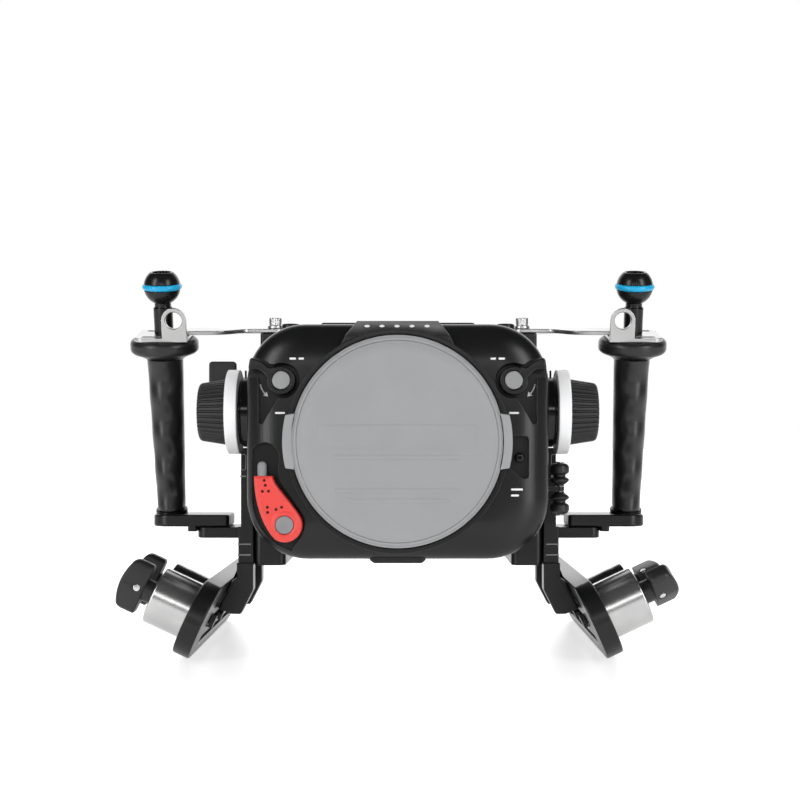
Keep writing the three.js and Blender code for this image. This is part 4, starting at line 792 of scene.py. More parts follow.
def frontShell():
    half, wall, parting = case["halfWidth"], case["wall"], case["parting"]
    a = np.linspace(0, quarter, 19)
    inset, depth = case["frontInset"], case["frontRound"]
    levels = [(inset * (1 - math.sin(k)), depth * (1 - math.cos(k))) for k in a] + [(0.0, parting)]
    knobPlace = (0, knob["y"], knob["z"])
    bosses = []
    for side in (-1, 1):
        bosses.append(rod("x", sided(side, half - wall / 2, half), knob["boss"], knobPlace, 72))
    shape = joined(
        lofted(caseRings(levels)),
        hoodSolid(),
        deckSlab((deck["front"], parting)),
        padSlab((pad["front"], parting), 1.5),
        rod("y", (collar["front"], 8.0), collar["outer"], (0, 0, port["height"]), 160, 0.6),
        *bosses,
        fingerLug(),
    )
    cutters = [
        caseSlab(wall, (case["frontWall"], parting + through)),
        rod("y", (-16.0, 0.0), collar["inner"], (0, 0, port["height"]), 160),
        rod("y", (-through, case["frontWall"] + through), port["neck"] + seat, (0, 0, port["height"]), 160),
        releaseCutter(),
        leverCutter(),
    ]
    wallEnd = case["frontWall"] + through
    for side in (-1, 1):
        cutters += [tool if side > 0 else mirrored(tool) for tool in latchCutters()]
        x, capPlace = side * latch["x"], (side * bulkhead["x"], bulkhead["y"], 0)
        reach = sided(side, innerFlank - through, half + through)
        cutters += [
            rod("y", (0, wallEnd), latch["shaft"] + seat, (x, 0, latch["z"]), 24),
            rod("x", reach, knob["neck"] + seat, knobPlace, 40),
            rod("z", (bulkhead["spot"], bulkhead["top"] + 1), bulkhead["radius"] + 1.7, capPlace, 40),
            rod("z", (bulkhead["neckEnd"] - 2, bulkhead["top"]), bulkhead["neck"] + seat, capPlace, 24),
        ]
    cutters += [
        rod("y", (0, wallEnd), stemBore, (release["x"], 0, release["z"]), 16),
        rod("y", (0, wallEnd), lever["shaft"] + seat, (lever["x"], 0, lever["z"]), 24),
        rod("z", (finger["low"], finger["high"]), finger["pin"] + seat, (finger["x"], finger["y"], 0), 20),
    ]
    return cut(shape, *cutters)


piece("front_shell_look", frontShell(), anodised, "front_shell")
print("front shell made")

window = {
    "halfWidth": 66.0,
    "halfHeight": 44.0,
    "corner": 10.0,
    "rebate": 6.0,
    "pane": 3.4,
    "frame": 13.0,
    "frameDeep": 4.0,
    "screwAcross": 70.5,
    "screwUp": 51.5,
}
rearButton = {
    "x": 86.0,
    "z": 128.0,
    "stem": 2.0,
    "radius": 5.0,
    "front": 207.6,
    "thickness": 3.2,
    "end": 193.0,
}
valve = {"x": 30.0, "y": 150.0, "neck": 6.0, "radius": 9.0, "cap": 6.5, "top": 231.0, "neckEnd": 211.0}
thumb = {
    "y": 92.0,
    "z": 165.0,
    "shaft": 3.6,
    "hub": 8.5,
    "outer": -110.0,
    "stalkInner": -101.5,
    "front": 83.0,
    "rear": 88.0,
    "paddleAcross": (-133.2, -114.0),
    "paddleUp": (180.0, 200.7),
    "shelfAcross": (-120.5, -104.0),
    "shelfUp": (180.0, 189.5),
}
strap = {
    "boltX": 88.0,
    "boltY": 100.0,
    "bossLow": 188.0,
    "bossTop": 221.2,
    "bossHalf": 10.0,
    "bossDeep": 9.0,
    "thickness": 2.8,
    "half": 7.0,
    "inner": 81.0,
    "outer": 156.0,
}
seal = {"inset": 2.3, "width": 2.4, "depth": 2.1}


def windowOutline(margin):
    half, high = window["halfWidth"] + margin, window["halfHeight"] + margin
    middle = port["height"]
    return roundRect((-half, half), (middle - high, middle + high), window["corner"] + margin)


def rearShell():
    front, rear, wall = case["parting"] + seat, case["rear"], case["wall"]
    a = np.linspace(quarter, 0, 11)
    round_ = case["rearRound"]
    walls = [(0.0, front)] + [(round_ * (1 - math.sin(k)), rear - round_ * (1 - math.cos(k))) for k in a]
    bosses = []
    for side in (-1, 1):
        across = sided(side, strap["boltX"] - strap["bossHalf"], strap["boltX"] + strap["bossHalf"])
        deep = (strap["boltY"] - strap["bossDeep"], strap["boltY"] + strap["bossDeep"])
        levels = edged(strap["bossLow"], strap["bossTop"], 0.0, 0.8)
        bosses.append(slab("z", roundRect(across, deep, 2.0), levels))
    shape = joined(
        lofted(caseRings(walls)),
        deckSlab((front, deck["rear"])),
        padSlab((front, pad["rear"]), 0.0),
        *bosses,
    )
    ring = cut(
        caseSlab(seal["inset"] - seat, (front - 2, front + seal["depth"] + 2 * seat)),
        caseSlab(seal["inset"] + seal["width"] + seat, (front - 5, front + seal["depth"] + 5)),
    )
    wallReach = (rear - wall - through, rear + through)
    rebate = [(0, rear - window["pane"] - 2 * seat), (0, rear + through)]
    cutters = [
        caseSlab(wall, (front - through, rear - wall)),
        ring,
        slab("y", windowOutline(0), [(0, wallReach[0]), (0, wallReach[1])]),
        slab("y", windowOutline(window["rebate"]), rebate),
    ]
    for side in (-1, 1):
        place = (side * strap["boltX"], strap["boltY"], 0)
        cutters.append(rod("z", (strap["bossTop"] - 14, strap["bossTop"] + through), studBore, place, 24))
    flank = (-(case["halfWidth"] + through), -(innerFlank - through))
    cutters += [
        rod("x", flank, thumb["shaft"] + seat, (0, thumb["y"], thumb["z"]), 24),
        rod("y", wallReach, rearButton["stem"] + seat, (rearButton["x"], 0, rearButton["z"]), 20),
        rod("z", (valve["neckEnd"] - 2, valve["top"]), valve["neck"] + seat, (valve["x"], valve["y"], 0), 32),
    ]
    return cut(shape, *cutters)


piece("rear_shell_look", rearShell(), anodised, "rear_shell")
print("rear shell made")

# The port: its ring, and the grey cap with a sloped rim, a tab on each side and faint raised bars on its face
cap = {
    "radius": 68.0,
    "flat": 60.5,
    "front": -14.0,
    "face": -13.7,
    "shoulder": -9.5,
    "rear": -1.0,
    "inside": 66.3,
    "floor": -11.3,
    "tabReach": 73.4,
    "tabHalf": 17.0,
    "tabRear": -3.2,
}
portPlace = (0, 0, port["height"])
capBars = [  # the raised bars on the cap, in pixels of the photograph: top, bottom, left and right
    (425, 449, 318, 476),
    (455.5, 459.5, 333, 462),
    (489, 493, 335, 460),
    (499, 503, 348, 449),
]


def portRing():
    bore, neck, flange, front = port["bore"], port["neck"], port["flange"], port["front"]
    middle = (front - seat) / 2
    corners = [
        (bore, front, 0.5),
        (flange, front, 0.5),
        (flange, middle - 1.5),
        (flange - port["groove"], middle - 1.5),
        (flange - port["groove"], middle + 1.5),
        (flange, middle + 1.5),
        (flange, -seat),
        (neck, -seat),
        (neck, case["frontWall"]),
        (bore, case["frontWall"]),
    ]
    profile = softened(corners, True)
    return spun("y", np.vstack([profile, profile[:1]]), portPlace, 160)


def portCap():
    corners = [
        (0, cap["face"]),
        (cap["flat"] - 1.2, cap["face"], 2.4),
        (cap["radius"] - 0.6, cap["shoulder"] - 0.4, 1.2),
        (cap["radius"], cap["shoulder"] + 1.2, 0.8),
        (cap["radius"], cap["rear"], 0.3),
        (cap["inside"], cap["rear"], 0.3),
        (cap["inside"], cap["floor"], 0.8),
        (0, cap["floor"]),
    ]
    shape = spun("y", softened(corners), portPlace, 192)
    reach = math.asin(cap["tabHalf"] / cap["tabReach"])
    tabs = []
    for middle in (0, 2 * quarter):
        outer = arc((0, 0), cap["tabReach"], middle - reach, middle + reach, 20)
        inner = arc((0, 0), cap["inside"] + 0.8, middle + reach * 1.16, middle - reach * 1.16, 20)
        ends = (0, len(outer) - 1, len(outer), len(outer) + len(inner) - 1)
        outline = np.concatenate([outer, inner])
        corners = [(*point, 1.6 if k in ends else 0) for k, point in enumerate(outline)]
        levels = edged(cap["shoulder"] - 0.4, cap["tabRear"], 0.7, 0.4)
        tabs.append(slab("y", softened(corners, True), levels, portPlace))
    bars = []
    for top, bottom, left, right in capBars:
        first, last = pixelPoint(left, bottom, cap["face"]), pixelPoint(right, top, cap["face"])
        outline = roundRect((first[0], last[0]), (first[2], last[2]), min(1.2, (last[2] - first[2]) / 2.05))
        bars.append(slab("y", outline, edged(cap["front"] + 0.02, cap["face"] + 1, 0.25, 0.0)))
    return joined(shape, *tabs, *bars)


piece("port_ring_look", portRing(), anodised, "port_ring")
piece("port_cap_look", portCap(), capGrey, "port_cap", limit=22)


# A round push button: a shallow dome with a soft rim on a stem
def pushButton(radius, front, rear, stem=1.5, stemLength=8.0):
    corners = [
        (0, front),
        (radius * 0.7, front + 0.15, 1.0),
        (radius, front + 0.5, 0.7),
        (radius, rear, 0.2),
        (stem, rear),
        (stem, rear + stemLength),
        (0, rear + stemLength),
    ]
    return spun("y", softened(corners), count=72)


# A shaft through the front wall, with a disc inside that keeps it in
def pivotShaft(radius, start):
    wall, thickness, disc = case["frontWall"] + seat, 3.0, 7.0
    shaft = rod("y", (start, wall + thickness), radius, count=32)
    return [shaft, rod("y", (wall, wall + thickness), disc, count=40, edge=0.5)]


def latchSolid():
    rear = latch["floor"] - seat
    corners = [
        (0, latch["front"] + 0.6),
        (latch["button"] + 0.4, latch["front"] + 0.6),
        (latch["button"] + 0.9, latch["front"], 0.5),
        (latch["radius"], latch["front"], 1.4),
        (latch["radius"], rear, 0.4),
        (0, rear),
    ]
    disc = spun("y", softened(corners), count=96)
    arm = slab("y", softened(armOutline, True), edged(latch["armFront"], latch["armRear"], 1.3, 0.5))
    body = joined(disc, arm, *pivotShaft(latch["shaft"], rear - 1))
    room = rod("y", (latch["buttonFront"] - 6, latch["buttonRear"] + 2.3), latch["button"] + seat, count=64)
    return cut(body, room, rod("y", (0, latch["buttonRear"] + 10.3), stemBore, count=20))


latchPlace, leverPlace = (latch["x"], 0, latch["z"]), (lever["x"], 0, lever["z"])
latchButton = pushButton(latch["button"], latch["buttonFront"], latch["buttonRear"])
pair("latch", shifted(latchSolid(), latchPlace), satinBlack)
pair("latch_button", shifted(latchButton, latchPlace), buttonGrey)


# B(s) = (1-s)^3 P0 + 3s(1-s)^2 P1 + 3s^2(1-s) P2 + s^3 P3
def bezier(points, steps=24):
    p = np.array(points, float)
    s = np.linspace(0, 1, steps + 1)[:, None]
    return (1 - s) ** 3 * p[0] + 3 * s * (1 - s) ** 2 * p[1] + 3 * s**2 * (1 - s) * p[2] + s**3 * p[3]


# The port lever's teardrop about its pivot: two curves from its flat top to the arc about the pivot
def leverOutline():
    radius, outer, inner, top = lever["radius"], lever["topOuter"], lever["topInner"], lever["length"]
    low = (radius * math.cos(lever["start"]), radius * math.sin(lever["start"]))
    high = (radius * math.cos(lever["end"]), radius * math.sin(lever["end"]))
    outline = np.concatenate([
        bezier([(-outer, top), (-outer * 0.99, top * 0.5), (-outer * 0.76, 0), low])[:-1],
        arc((0, 0), radius, lever["start"], lever["end"], 40),
        bezier([high, (inner * 0.12, top * 0.6), (-inner * 0.9, top * 0.82), (-inner, top)])[1:],
    ])
    ends = np.array([(-outer, top), (-inner, top)])
    gap = np.linalg.norm(outline[:, None] - ends, axis=2).min(1)
    return outline[(gap < 0.01) | (gap > lever["clear"])]  # room for the rounded edge beside the top corners


def leverSolid():
    a = np.linspace(0, quarter, 7)
    front = [(2.6 * (1 - math.sin(k)), lever["front"] + 1.9 * (1 - math.cos(k))) for k in a]
    body = slab("y", leverOutline(), front + [(0, lever["rear"] - 0.4), (0.4, lever["rear"])])
    ring = softened([
        (0, lever["front"] + 1),
        (0, lever["front"] - 0.05),
        (6.3, lever["front"] - 0.1, 0.5),
        (7.4, lever["front"] - 0.75, 1.0),
        (9.0, lever["front"] - 0.1, 1.4),
        (9.6, lever["front"] + 1),
        (0, lever["front"] + 1),
    ])
    body = joined(body, spun("y", ring, count=72), *pivotShaft(lever["shaft"], lever["rear"] - 1))
    tipReach = (lever["tipLow"] - seat, lever["length"] + 4)
    return cut(
        body,
        rod("y", (-9, lever["buttonRear"] + 2.3), lever["button"] + seat, count=64),
        rod("y", (-1, lever["buttonRear"] + 10.3), stemBore, count=20),
        rod("z", tipReach, lever["tipRadius"] + seat, (lever["tipX"], lever["tipY"], 0), 40),
    )


def leverTip():
    low, high, radius = lever["tipLow"], lever["tipHigh"], lever["tipRadius"]
    a = np.linspace(0, quarter, 9)
    dome = [(radius * math.cos(k), high - radius + radius * math.sin(k)) for k in a]
    return spun("z", [(0, low), (radius, low), *dome], (lever["tipX"], lever["tipY"], 0), 48)


leverDots = [  # where the lever's small black marks show in the photograph
    (264.2, 480.4),
    (265.3, 485.3),
    (262.4, 491.4),
    (268.5, 491.2),
    (267.3, 507.3),
    (267.6, 512.4),
    (276.0, 509.4),
    (281.6, 507.2),
]


def dotSolids(places, radius, depth):
    reach = (depth - 0.06, depth + 0.3)
    return [rod("y", reach, radius, pixelPoint(px, py, depth) * (1, 0, 1), 24) for px, py in places]


# Several separate solids as one
def gathered(solids):
    points, faces, start = [], [], 0
    for solid in solids:
        points.append(solid[0])
        faces += [[start + k for k in face] for face in solid[1]]
        start += len(solid[0])
    return np.concatenate(points), faces


def releaseDome():
    front, rear, radius, stem = release["front"], release["rear"], release["radius"], 1.5
    profile = softened([
        (0, front),
        (radius * 0.7, front + 0.1, 1.0),
        (radius, front + 1.2, 0.8),
        (radius, rear),
        (stem, rear),
        (stem, case["frontWall"] + 3),
        (0, case["frontWall"] + 3),
    ])
    return spun("y", profile, (release["x"], 0, release["z"]), 56)


leverButton = pushButton(lever["button"], lever["buttonFront"], lever["buttonRear"])
leverMarks = gathered(dotSolids(leverDots, 0.95, lever["front"]))
piece("port_lever_look", shifted(leverSolid(), leverPlace), leverRed, "port_lever", limit=22)
piece("port_lever_tip_look", shifted(leverTip(), leverPlace), tipGrey, "port_lever_tip")
piece("port_lever_button_look", shifted(leverButton, leverPlace), tipGrey, "port_lever_button")
piece("port_lever_marks", leverMarks, dotBlack, "port_lever", False)
piece("lens_release_button_look", releaseDome(), glossBlack, "lens_release_button")
print("port, latches and levers made")


# The focus knobs, made on the right: gland, white ring and ribbed grip
knobPlace = (0, knob["y"], knob["z"])


def knobGland():
    shaft = knob["shaft"] + seat
    corners = [
        (shaft, knob["neckInner"]),
        (knob["neck"], knob["neckInner"]),
        (knob["neck"], knob["glandInner"]),
        (knob["glandRadius"], knob["glandInner"], 0.5),
        (knob["glandRadius"], knob["glandOuter"] - 1.6, 1.4),
        (knob["glandRadius"] - 1.8, knob["glandOuter"] - 1.4, 0.4),
        (knob["glandRadius"] - 1.8, knob["glandOuter"], 0.4),
        (shaft, knob["glandOuter"]),
        (shaft, knob["neckInner"]),
    ]
    nub = rod("z", (knob["z"] + 22.0, knob["z"] + 28.0), 0.7, (102.8, knob["y"], 0), 20, 0.3)
    return joined(spun("x", softened(corners), knobPlace, 128), nub)


def knobRing():
    bore = knob["hub"] + seat
    corners = [
        (bore, knob["ringInner"]),
        (knob["ringRadius"], knob["ringInner"], 0.9),
        (knob["ringRadius"], knob["ringOuter"], 0.9),
        (bore, knob["ringOuter"]),
        (bore, knob["ringInner"]),
    ]
    return spun("x", softened(corners), knobPlace, 160)


# Ridges: 0 on a flat land and 1 in a narrow groove between two lands
def ridgeShape(t):
    wave = np.abs(np.cos(knob["ridges"] * t / 2))
    return np.clip((wave - 0.62) / 0.3, 0, 1) ** 1.5


def knobGrip():
    crown = knob["crown"]
    line = softened(
        [
            (0, knob["gripInner"]),
            (knob["inner"], knob["gripInner"], 0.6),
            (knob["outer"] + 0.1, knob["gripOuter"], 2.6),
            (knob["outer"] - crown - 5, knob["gripOuter"], 0.6),
            (knob["outer"] - crown - 6, knob["gripOuter"] - 1.0, 0.6),
            (0, knob["gripOuter"] - 1.0),
        ],
        steps=6,
    )
    share = np.clip((line[:, 0] - knob["outer"] + crown + 0.5) / 2.0, 0, 1)
    body = spun("x", line, knobPlace, knob["ridges"] * 12, ridgeShape, share * knob["ridgeDepth"])
    return joined(
        body,
        rod("x", (knob["ringInner"], knob["gripInner"] + 1), knob["hub"], knobPlace, 56),
        rod("x", (knob["shaftInner"], knob["gripInner"] + 1), knob["shaft"], knobPlace, 32),
        rod("x", (knob["shaftInner"] - 3, knob["shaftInner"] + 0.2), 7.0, knobPlace, 40, 0.4),
    )


pair("knob_gland", knobGland(), glossBlack)
pair("knob_ring", knobRing(), ringWhite)
pair("knob", knobGrip(), blackPlastic)


# The thumb lever behind the left knob
def thumbLever():
    front, rear, outer = thumb["front"], thumb["rear"], thumb["outer"]
    levels = edged(front, rear, 1.2)
    stalk = softened([(87.5, 161.0, 2), (96.5, 161.0, 2), (rear, 184.5), (front, 184.5)], True)
    place = (0, thumb["y"], thumb["z"])
    return joined(
        slab("y", roundRect(thumb["paddleAcross"], thumb["paddleUp"], 2.5), levels),
        slab("y", roundRect(thumb["shelfAcross"], thumb["shelfUp"], 2.5), levels),
        slab("x", stalk, edged(outer, thumb["stalkInner"], 1.0)),
        rod("x", (outer, -knob["glandInner"]), thumb["hub"], place, 56, 0.8),
        rod("x", (outer, -knob["shaftInner"]), thumb["shaft"], place, 32),
        rod("x", (-knob["shaftInner"], 3 - knob["shaftInner"]), 6.5, place, 40, 0.4),
    )


# One finger lever: a round lobe, a waist, a small pointed flange and a hub against the lug
def fingerLever(sign):
    length = (finger["high"] - finger["low"] - finger["lug"]) / 2 - seat
    bore = finger["pin"] + seat
    stations = [
        (bore, 0.0),
        (4.4, 0.0, 1.6),
        (6.4, 0.12, 2.6),
        (6.4, 0.42, 2.6),
        (4.0, 0.5, 1.6),
        (4.0, 0.6, 1.2),
        (5.9, 0.66, 0.8),
        (6.6, 0.74, 0.6),
        (5.3, 0.84, 0.8),
        (3.1, 0.94, 0.8),
        (3.1, 1.0),
        (bore, 1.0),
        (bore, 0.0),
    ]
    end = finger["high"] if sign > 0 else finger["low"]
    corners = [(radius, end - sign * share * length, *rest) for radius, share, *rest in stations]
    return spun("z", softened(corners), (finger["x"], finger["y"], 0), 64)


def leverPin():
    low, high, head = finger["low"] - seat, finger["high"] + seat, finger["head"]
    profile = softened([
        (0, low - finger["headHeight"]),
        (head, low - finger["headHeight"], 0.3),
        (head, low),
        (finger["pin"], low),
        (finger["pin"], high),
        (head, high),
        (head, high + finger["headHeight"], 0.3),
        (0, high + finger["headHeight"]),
    ])
    return spun("z", profile, (finger["x"], finger["y"], 0), 40)


piece("thumb_lever_look", thumbLever(), blackPlastic, "thumb_lever")
piece("upper_finger_lever_look", fingerLever(1), blackPlastic, "upper_finger_lever")
piece("lower_finger_lever_look", fingerLever(-1), blackPlastic, "lower_finger_lever")
piece("finger_lever_pin_look", leverPin(), brushedSteel, "finger_lever_pin")


def bulkheadCap():
    corners = [
        (0, bulkhead["neckEnd"]),
        (bulkhead["neck"], bulkhead["neckEnd"]),
        (bulkhead["neck"], bulkhead["spot"] + seat),
        (bulkhead["radius"], bulkhead["spot"] + seat, 0.3),
        (bulkhead["radius"], bulkhead["top"], 1.6),
        (2.6, bulkhead["top"], 0.3),
        (2.6, bulkhead["top"] - 2.0),
        (0, bulkhead["top"] - 2.0),
    ]
    return spun("z", softened(corners), (bulkhead["x"], bulkhead["y"], 0), 56)


def valveSolid():
    low, top = deck["height"] + seat, valve["top"]
    corners = [
        (0, valve["neckEnd"]),
        (valve["neck"], valve["neckEnd"]),
        (valve["neck"], low),
        (valve["radius"], low, 0.3),
        (valve["radius"], low + 2.8, 0.8),
        (valve["cap"], low + 3.2, 0.3),
        (valve["cap"], top, 1.0),
        (2.2, top, 0.3),
        (2.2, top - 1.6),
        (0, top - 1.6),
    ]
    return spun("z", softened(corners), (valve["x"], valve["y"], 0), 72)


pair("bulkhead_cap", bulkheadCap(), satinBlack)
piece("vacuum_valve_look", valveSolid(), satinBlack, "vacuum_valve")


def screwPlaces():
    across, up = window["screwAcross"], window["screwUp"]
    return [(x, 0, port["height"] + z) for x in (-across, 0, across) for z in (-up, up)]


def windowFrame():
    face, rear = case["rear"] + seat, case["rear"] + seat + window["frameDeep"]
    plate = slab("y", windowOutline(window["frame"]), edged(face, rear, 0.0, 1.0))
    levels = [(0, face - 2.3), (0, rear - 0.8), (-0.8, rear), (-0.8, rear + through)]
    screws = [rod("y", (face + 2.2, rear + through), 2.4, place, 32) for place in screwPlaces()]
    return cut(plate, slab("y", windowOutline(-2), levels), *screws)


def windowScrews():
    face = case["rear"] + seat
    profile = softened([
        (0, face + 2.2),
        (2.2, face + 2.2),
        (2.2, face + 3.7, 0.4),
        (1.1, face + 3.7),
        (1.0, face + 2.9),
        (0, face + 2.9),
    ])
    return gathered([spun("y", profile, place, 32) for place in screwPlaces()])


def rearPane():
    rear = case["rear"] - seat
    return slab("y", windowOutline(window["rebate"] - seat), edged(rear - window["pane"], rear, 0.2))


def recordButton():
    front, rear = rearButton["front"], rearButton["front"] + rearButton["thickness"]
    profile = softened([
        (0, rearButton["end"]),
        (rearButton["stem"], rearButton["end"]),
        (rearButton["stem"], front),
        (rearButton["radius"], front, 0.3),
        (rearButton["radius"], rear, 1.0),
        (0, rear - 0.3),
    ])
    return spun("y", profile, (rearButton["x"], 0, rearButton["z"]), 56)


piece("window_frame_look", windowFrame(), satinBlack, "window_frame")
piece("window_frame_screws", windowScrews(), brushedSteel, "window_frame", False)
piece("rear_window_look", rearPane(), clearAcrylic, "rear_window")
piece("record_button_look", recordButton(), buttonGrey, "record_button")
print("knobs, finger levers and rear fittings made")


# The side rails with their legs, the base feet, and the arms and plates of the handles, made on the right
rail = {
    "inner": 101.3,
    "outer": 112.0,
    "upper": 110.2,
    "front": 78.0,
    "rear": 150.0,
    "low": 57.8,
    "step": 85.0,
    "top": 140.0,
    "openDeep": (96.0, 132.0),
    "openUp": (98.0, 128.0),
    "legs": (83.0, 141.0),
    "legHalf": 7.0,
}
tilt = math.radians(25)
weightRail = {
    "x": 139.0,
    "width": 52.0,
    "thickness": 12.0,
    "front": 8.0,
    "rear": 250.0,
    "end": 25.7,
    "slots": (11.0, 25.0, 39.0),
    "slotReach": (44.0, 214.0),
    "slotHalf": 3.3,
}
weight = {
    "radius": 20.0,
    "base": 12.3,
    "top": 41.5,
    "bore": 3.4,
    "ring": 0.6,
    "rise": 25.0,
    "frontY": 57.0,
    "rearY": 101.0,
}


# A place against the inner face of the tilted rail, at a height along its width
def againstRail(rise):
    return (
        weightRail["x"] - rise * math.sin(tilt) - seat * math.cos(tilt),
        rise * math.cos(tilt) - seat * math.sin(tilt),
    )


def sideRail():
    outline = [
        (rail["inner"], rail["low"]),
        (rail["outer"], rail["low"]),
        (rail["outer"], rail["step"], 0.6),
        (rail["upper"], rail["step"]),
        (rail["upper"], rail["top"], 1.2),
        (rail["inner"], rail["top"]),
    ]
    body = slab("y", softened(outline, True, 3), edged(rail["front"], rail["rear"], 0.8))
    opening = roundRect(rail["openDeep"], rail["openUp"], 3.0)
    side = rail["outer"] + 0.8
    leg = [
        (rail["inner"], rail["low"] + 2),
        (side, rail["low"] + 2, 0.5),
        (side, rail["low"] - 8.3, 1.0),
        (*againstRail(weightRail["width"] - seat), 0.5),
        (*againstRail(weight["rise"] + 6.0), 0.5),
        (side + 4.2, rail["low"] - 33.6, 1.0),
        (side - 2.8, rail["low"] - 33.8, 1.0),
        (rail["inner"], rail["low"] - 16.8, 1.0),
    ]
    half = rail["legHalf"]
    legs = [slab("y", softened(leg, True, 3), edged(y - half, y + half, 0.8)) for y in rail["legs"]]
    return cut(joined(body, *legs), throughCut("x", opening, rail["inner"], rail["upper"], 0.8))


railHighlightStrokes = [  # left, right and middle in pixels of the photograph, and half the width in millimetres
    (237.6, 250.9, 544.2, 0.4),
    (237.6, 250.9, 554.9, 0.4),
    (239.6, 246.0, 476.3, 0.45),
]


# Fine light grey lines on the side rail's front end, at two graduations, a bar and a rounded frame above it:
# painted highlights along their edges, partly wear
def railHighlightLines():
    def upright(px, py):
        return pixelPoint(px, py, rail["front"])[[0, 2]] * (-1, 1)

    levels = [(0, rail["front"] - 0.05), (0, rail["front"] + 0.3)]
    lines = []
    for left, right, py, half in railHighlightStrokes:
        first, last = upright(right, py), upright(left, py)
        up = (first[1] - half, first[1] + half)
        lines.append(slab("y", roundRect((first[0], last[0]), up, 0.1, steps=1), levels))
    low, high = upright(245.9, 470.3), upright(240.9, 454.0)
    frameLine = slab("y", roundRect((low[0], high[0]), (low[1], high[1]), 1.6), levels)
    inside = roundRect((low[0] + 0.4, high[0] - 0.4), (low[1] + 0.4, high[1] - 0.4), 1.2)
    lines.append(cut(frameLine, slab("y", inside, [(0, rail["front"] - 1), (0, rail["front"] + 1)])))
    return gathered(lines)


def baseFoot():
    outer = rail["inner"] - seat
    outline = roundRect((outer - 22.2, outer), (rail["front"], rail["rear"] - 2), 5.0)
    body = slab("z", outline, edged(rail["low"], case["bottom"] + 28, 1.0, 0.0))
    return cut(body, caseSlab(-seat, (case["parting"] + seat, case["rear"])))


arm = {"inner": 112.3, "outer": 142.8, "front": 92.0, "rear": 128.0, "low": 76.0, "top": 83.7}
plate = {
    "inner": 120.4,
    "outer": 175.2,
    "low": 84.0,
    "top": 92.5,
    "corner": 12.0,
    "step": (143.1, 149.6),
    "stepDrop": 3.4,
}
grip = {
    "x": 163.5,
    "y": 110.0,
    "lean": math.radians(14.5),
    "low": 4.3,
    "top": 114.8,
    "flange": 23.6,
    "end": 128.1,
    "collar": 11.3,
}
gripPlace = (grip["x"], grip["y"], plate["top"])


def handleArm():
    outline = roundRect((arm["inner"], arm["outer"]), (arm["front"], arm["rear"]), 1.0, 6.0)
    return slab("z", outline, edged(arm["low"], arm["top"], 1.0))


# About the grip's own axis to its place: turned by the lean about X and moved to the plate
def toGrip(solid):
    return shifted((turned(solid[0], "x", grip["lean"]), solid[1]), gripPlace)


def handlePlate():
    deep = (arm["front"], arm["rear"])
    outline = roundRect((plate["inner"], plate["outer"]), deep, 3.0, plate["corner"], 12)
    step = edged(plate["low"] - plate["stepDrop"], plate["low"] + 2, 0.6, 0.0)
    return joined(
        slab("z", outline, edged(plate["low"], plate["top"], 1.4)),
        slab("z", roundRect(plate["step"], deep, 2.0), step),
        toGrip(rod("z", (-3.0, 4.0), grip["collar"], count=72, edge=0.8)),
    )


# The grip: point(s, t) = (halfWidth(s) cos t, halfDepth(s) sin t), with grooves by sin^2(4 pi s) in its front
def gripSolid():
    s = np.linspace(0, 1, 121)[:, None]
    t = (np.arange(72) * turn / 72)[None]
    front = np.maximum(0, -np.sin(t)) ** 0.8
    groove = 3.4 * np.sin(4 * math.pi * s) ** 2 * front
    ends = 1.2 * np.clip(1 - s / 0.02, 0, 1) ** 2
    reachX = 9.8 + 2.6 * s - groove / 4 - ends
    reachY = 14.5 + 2.0 * s - groove - ends
    height = grip["low"] + (grip["top"] - grip["low"]) * s + 0 * t
    rings = np.stack([reachX * np.cos(t), reachY * np.sin(t), height], -1)
    top, end, flange = grip["top"], grip["end"], grip["flange"]
    corners = [
        (0, top - 4.0),
        (10.6, top - 4.0),
        (13.0, top - 0.6, 1.6),
        (17.5, top + 2.0, 2.0),
        (flange - 1.8, top + 3.5, 1.2),
        (flange, top + 5.5, 1.5),
        (flange, end - 2.0, 1.5),
        (flange - 1.8, end, 1.0),
        (0, end),
    ]
    body = joined(lofted(rings), spun("z", softened(corners), count=96))
    return cut(body, rod("z", (end - 8.0, end + through), studBore, count=24))


bracket = {
    "low": 128.4,
    "high": 131.2,
    "halfWidth": 18.5,
    "halfDepth": 18.0,
    "ear": 17.2,
    "earRise": 12.4,
    "hole": 5.7,
    "slotReach": (0, 13.8),
    "slotNear": 9.6,
    "slotFar": 14.0,
}


def bracketSolid():
    low, high, half, deep = bracket["low"], bracket["high"], bracket["halfWidth"], bracket["halfDepth"]
    base = slab("z", roundRect((-half, half), (-deep, deep), 6.0), edged(low, high, 0.5))
    radius, height = bracket["ear"] / 2, high + bracket["earRise"]
    middle = radius - half
    foot = [(middle - radius, low + 0.2), (middle + radius, low + 0.2)]
    ear = np.concatenate([foot, arc((middle, height), radius, 0, math.pi, 28)])
    front, rear = -deep, high - low - deep
    hole = circle((middle, height), bracket["hole"], 48)
    slots = []
    for side in (-1, 1):
        outline = roundRect(bracket["slotReach"], sided(side, bracket["slotNear"], bracket["slotFar"]), 2.19)
        slots.append(slab("z", outline, [(0, low - through), (0, high + through)]))
    return cut(
        joined(base, slab("y", ear, edged(front, rear, 0.5))),
        throughCut("y", hole, front, rear, 0.5),
        *slots,
        rod("z", (low - through, high + through), studBore, count=24),
    )


ball = {
    "base": 131.5,
    "height": 164.5,
    "radius": 12.7,
    "flat": 10.0,
    "bore": 6.2,
    "boreDepth": 9.0,
    "stud": 3.0,
    "neck": 5.7,
    "groove": 2.3,
    "groovedRadius": 11.6,
    "ring": 2.1,
}


# A point on the ball's surface at a rise above its middle
def onBall(rise):
    return (math.sqrt(ball["radius"] ** 2 - rise**2), ball["height"] + rise)


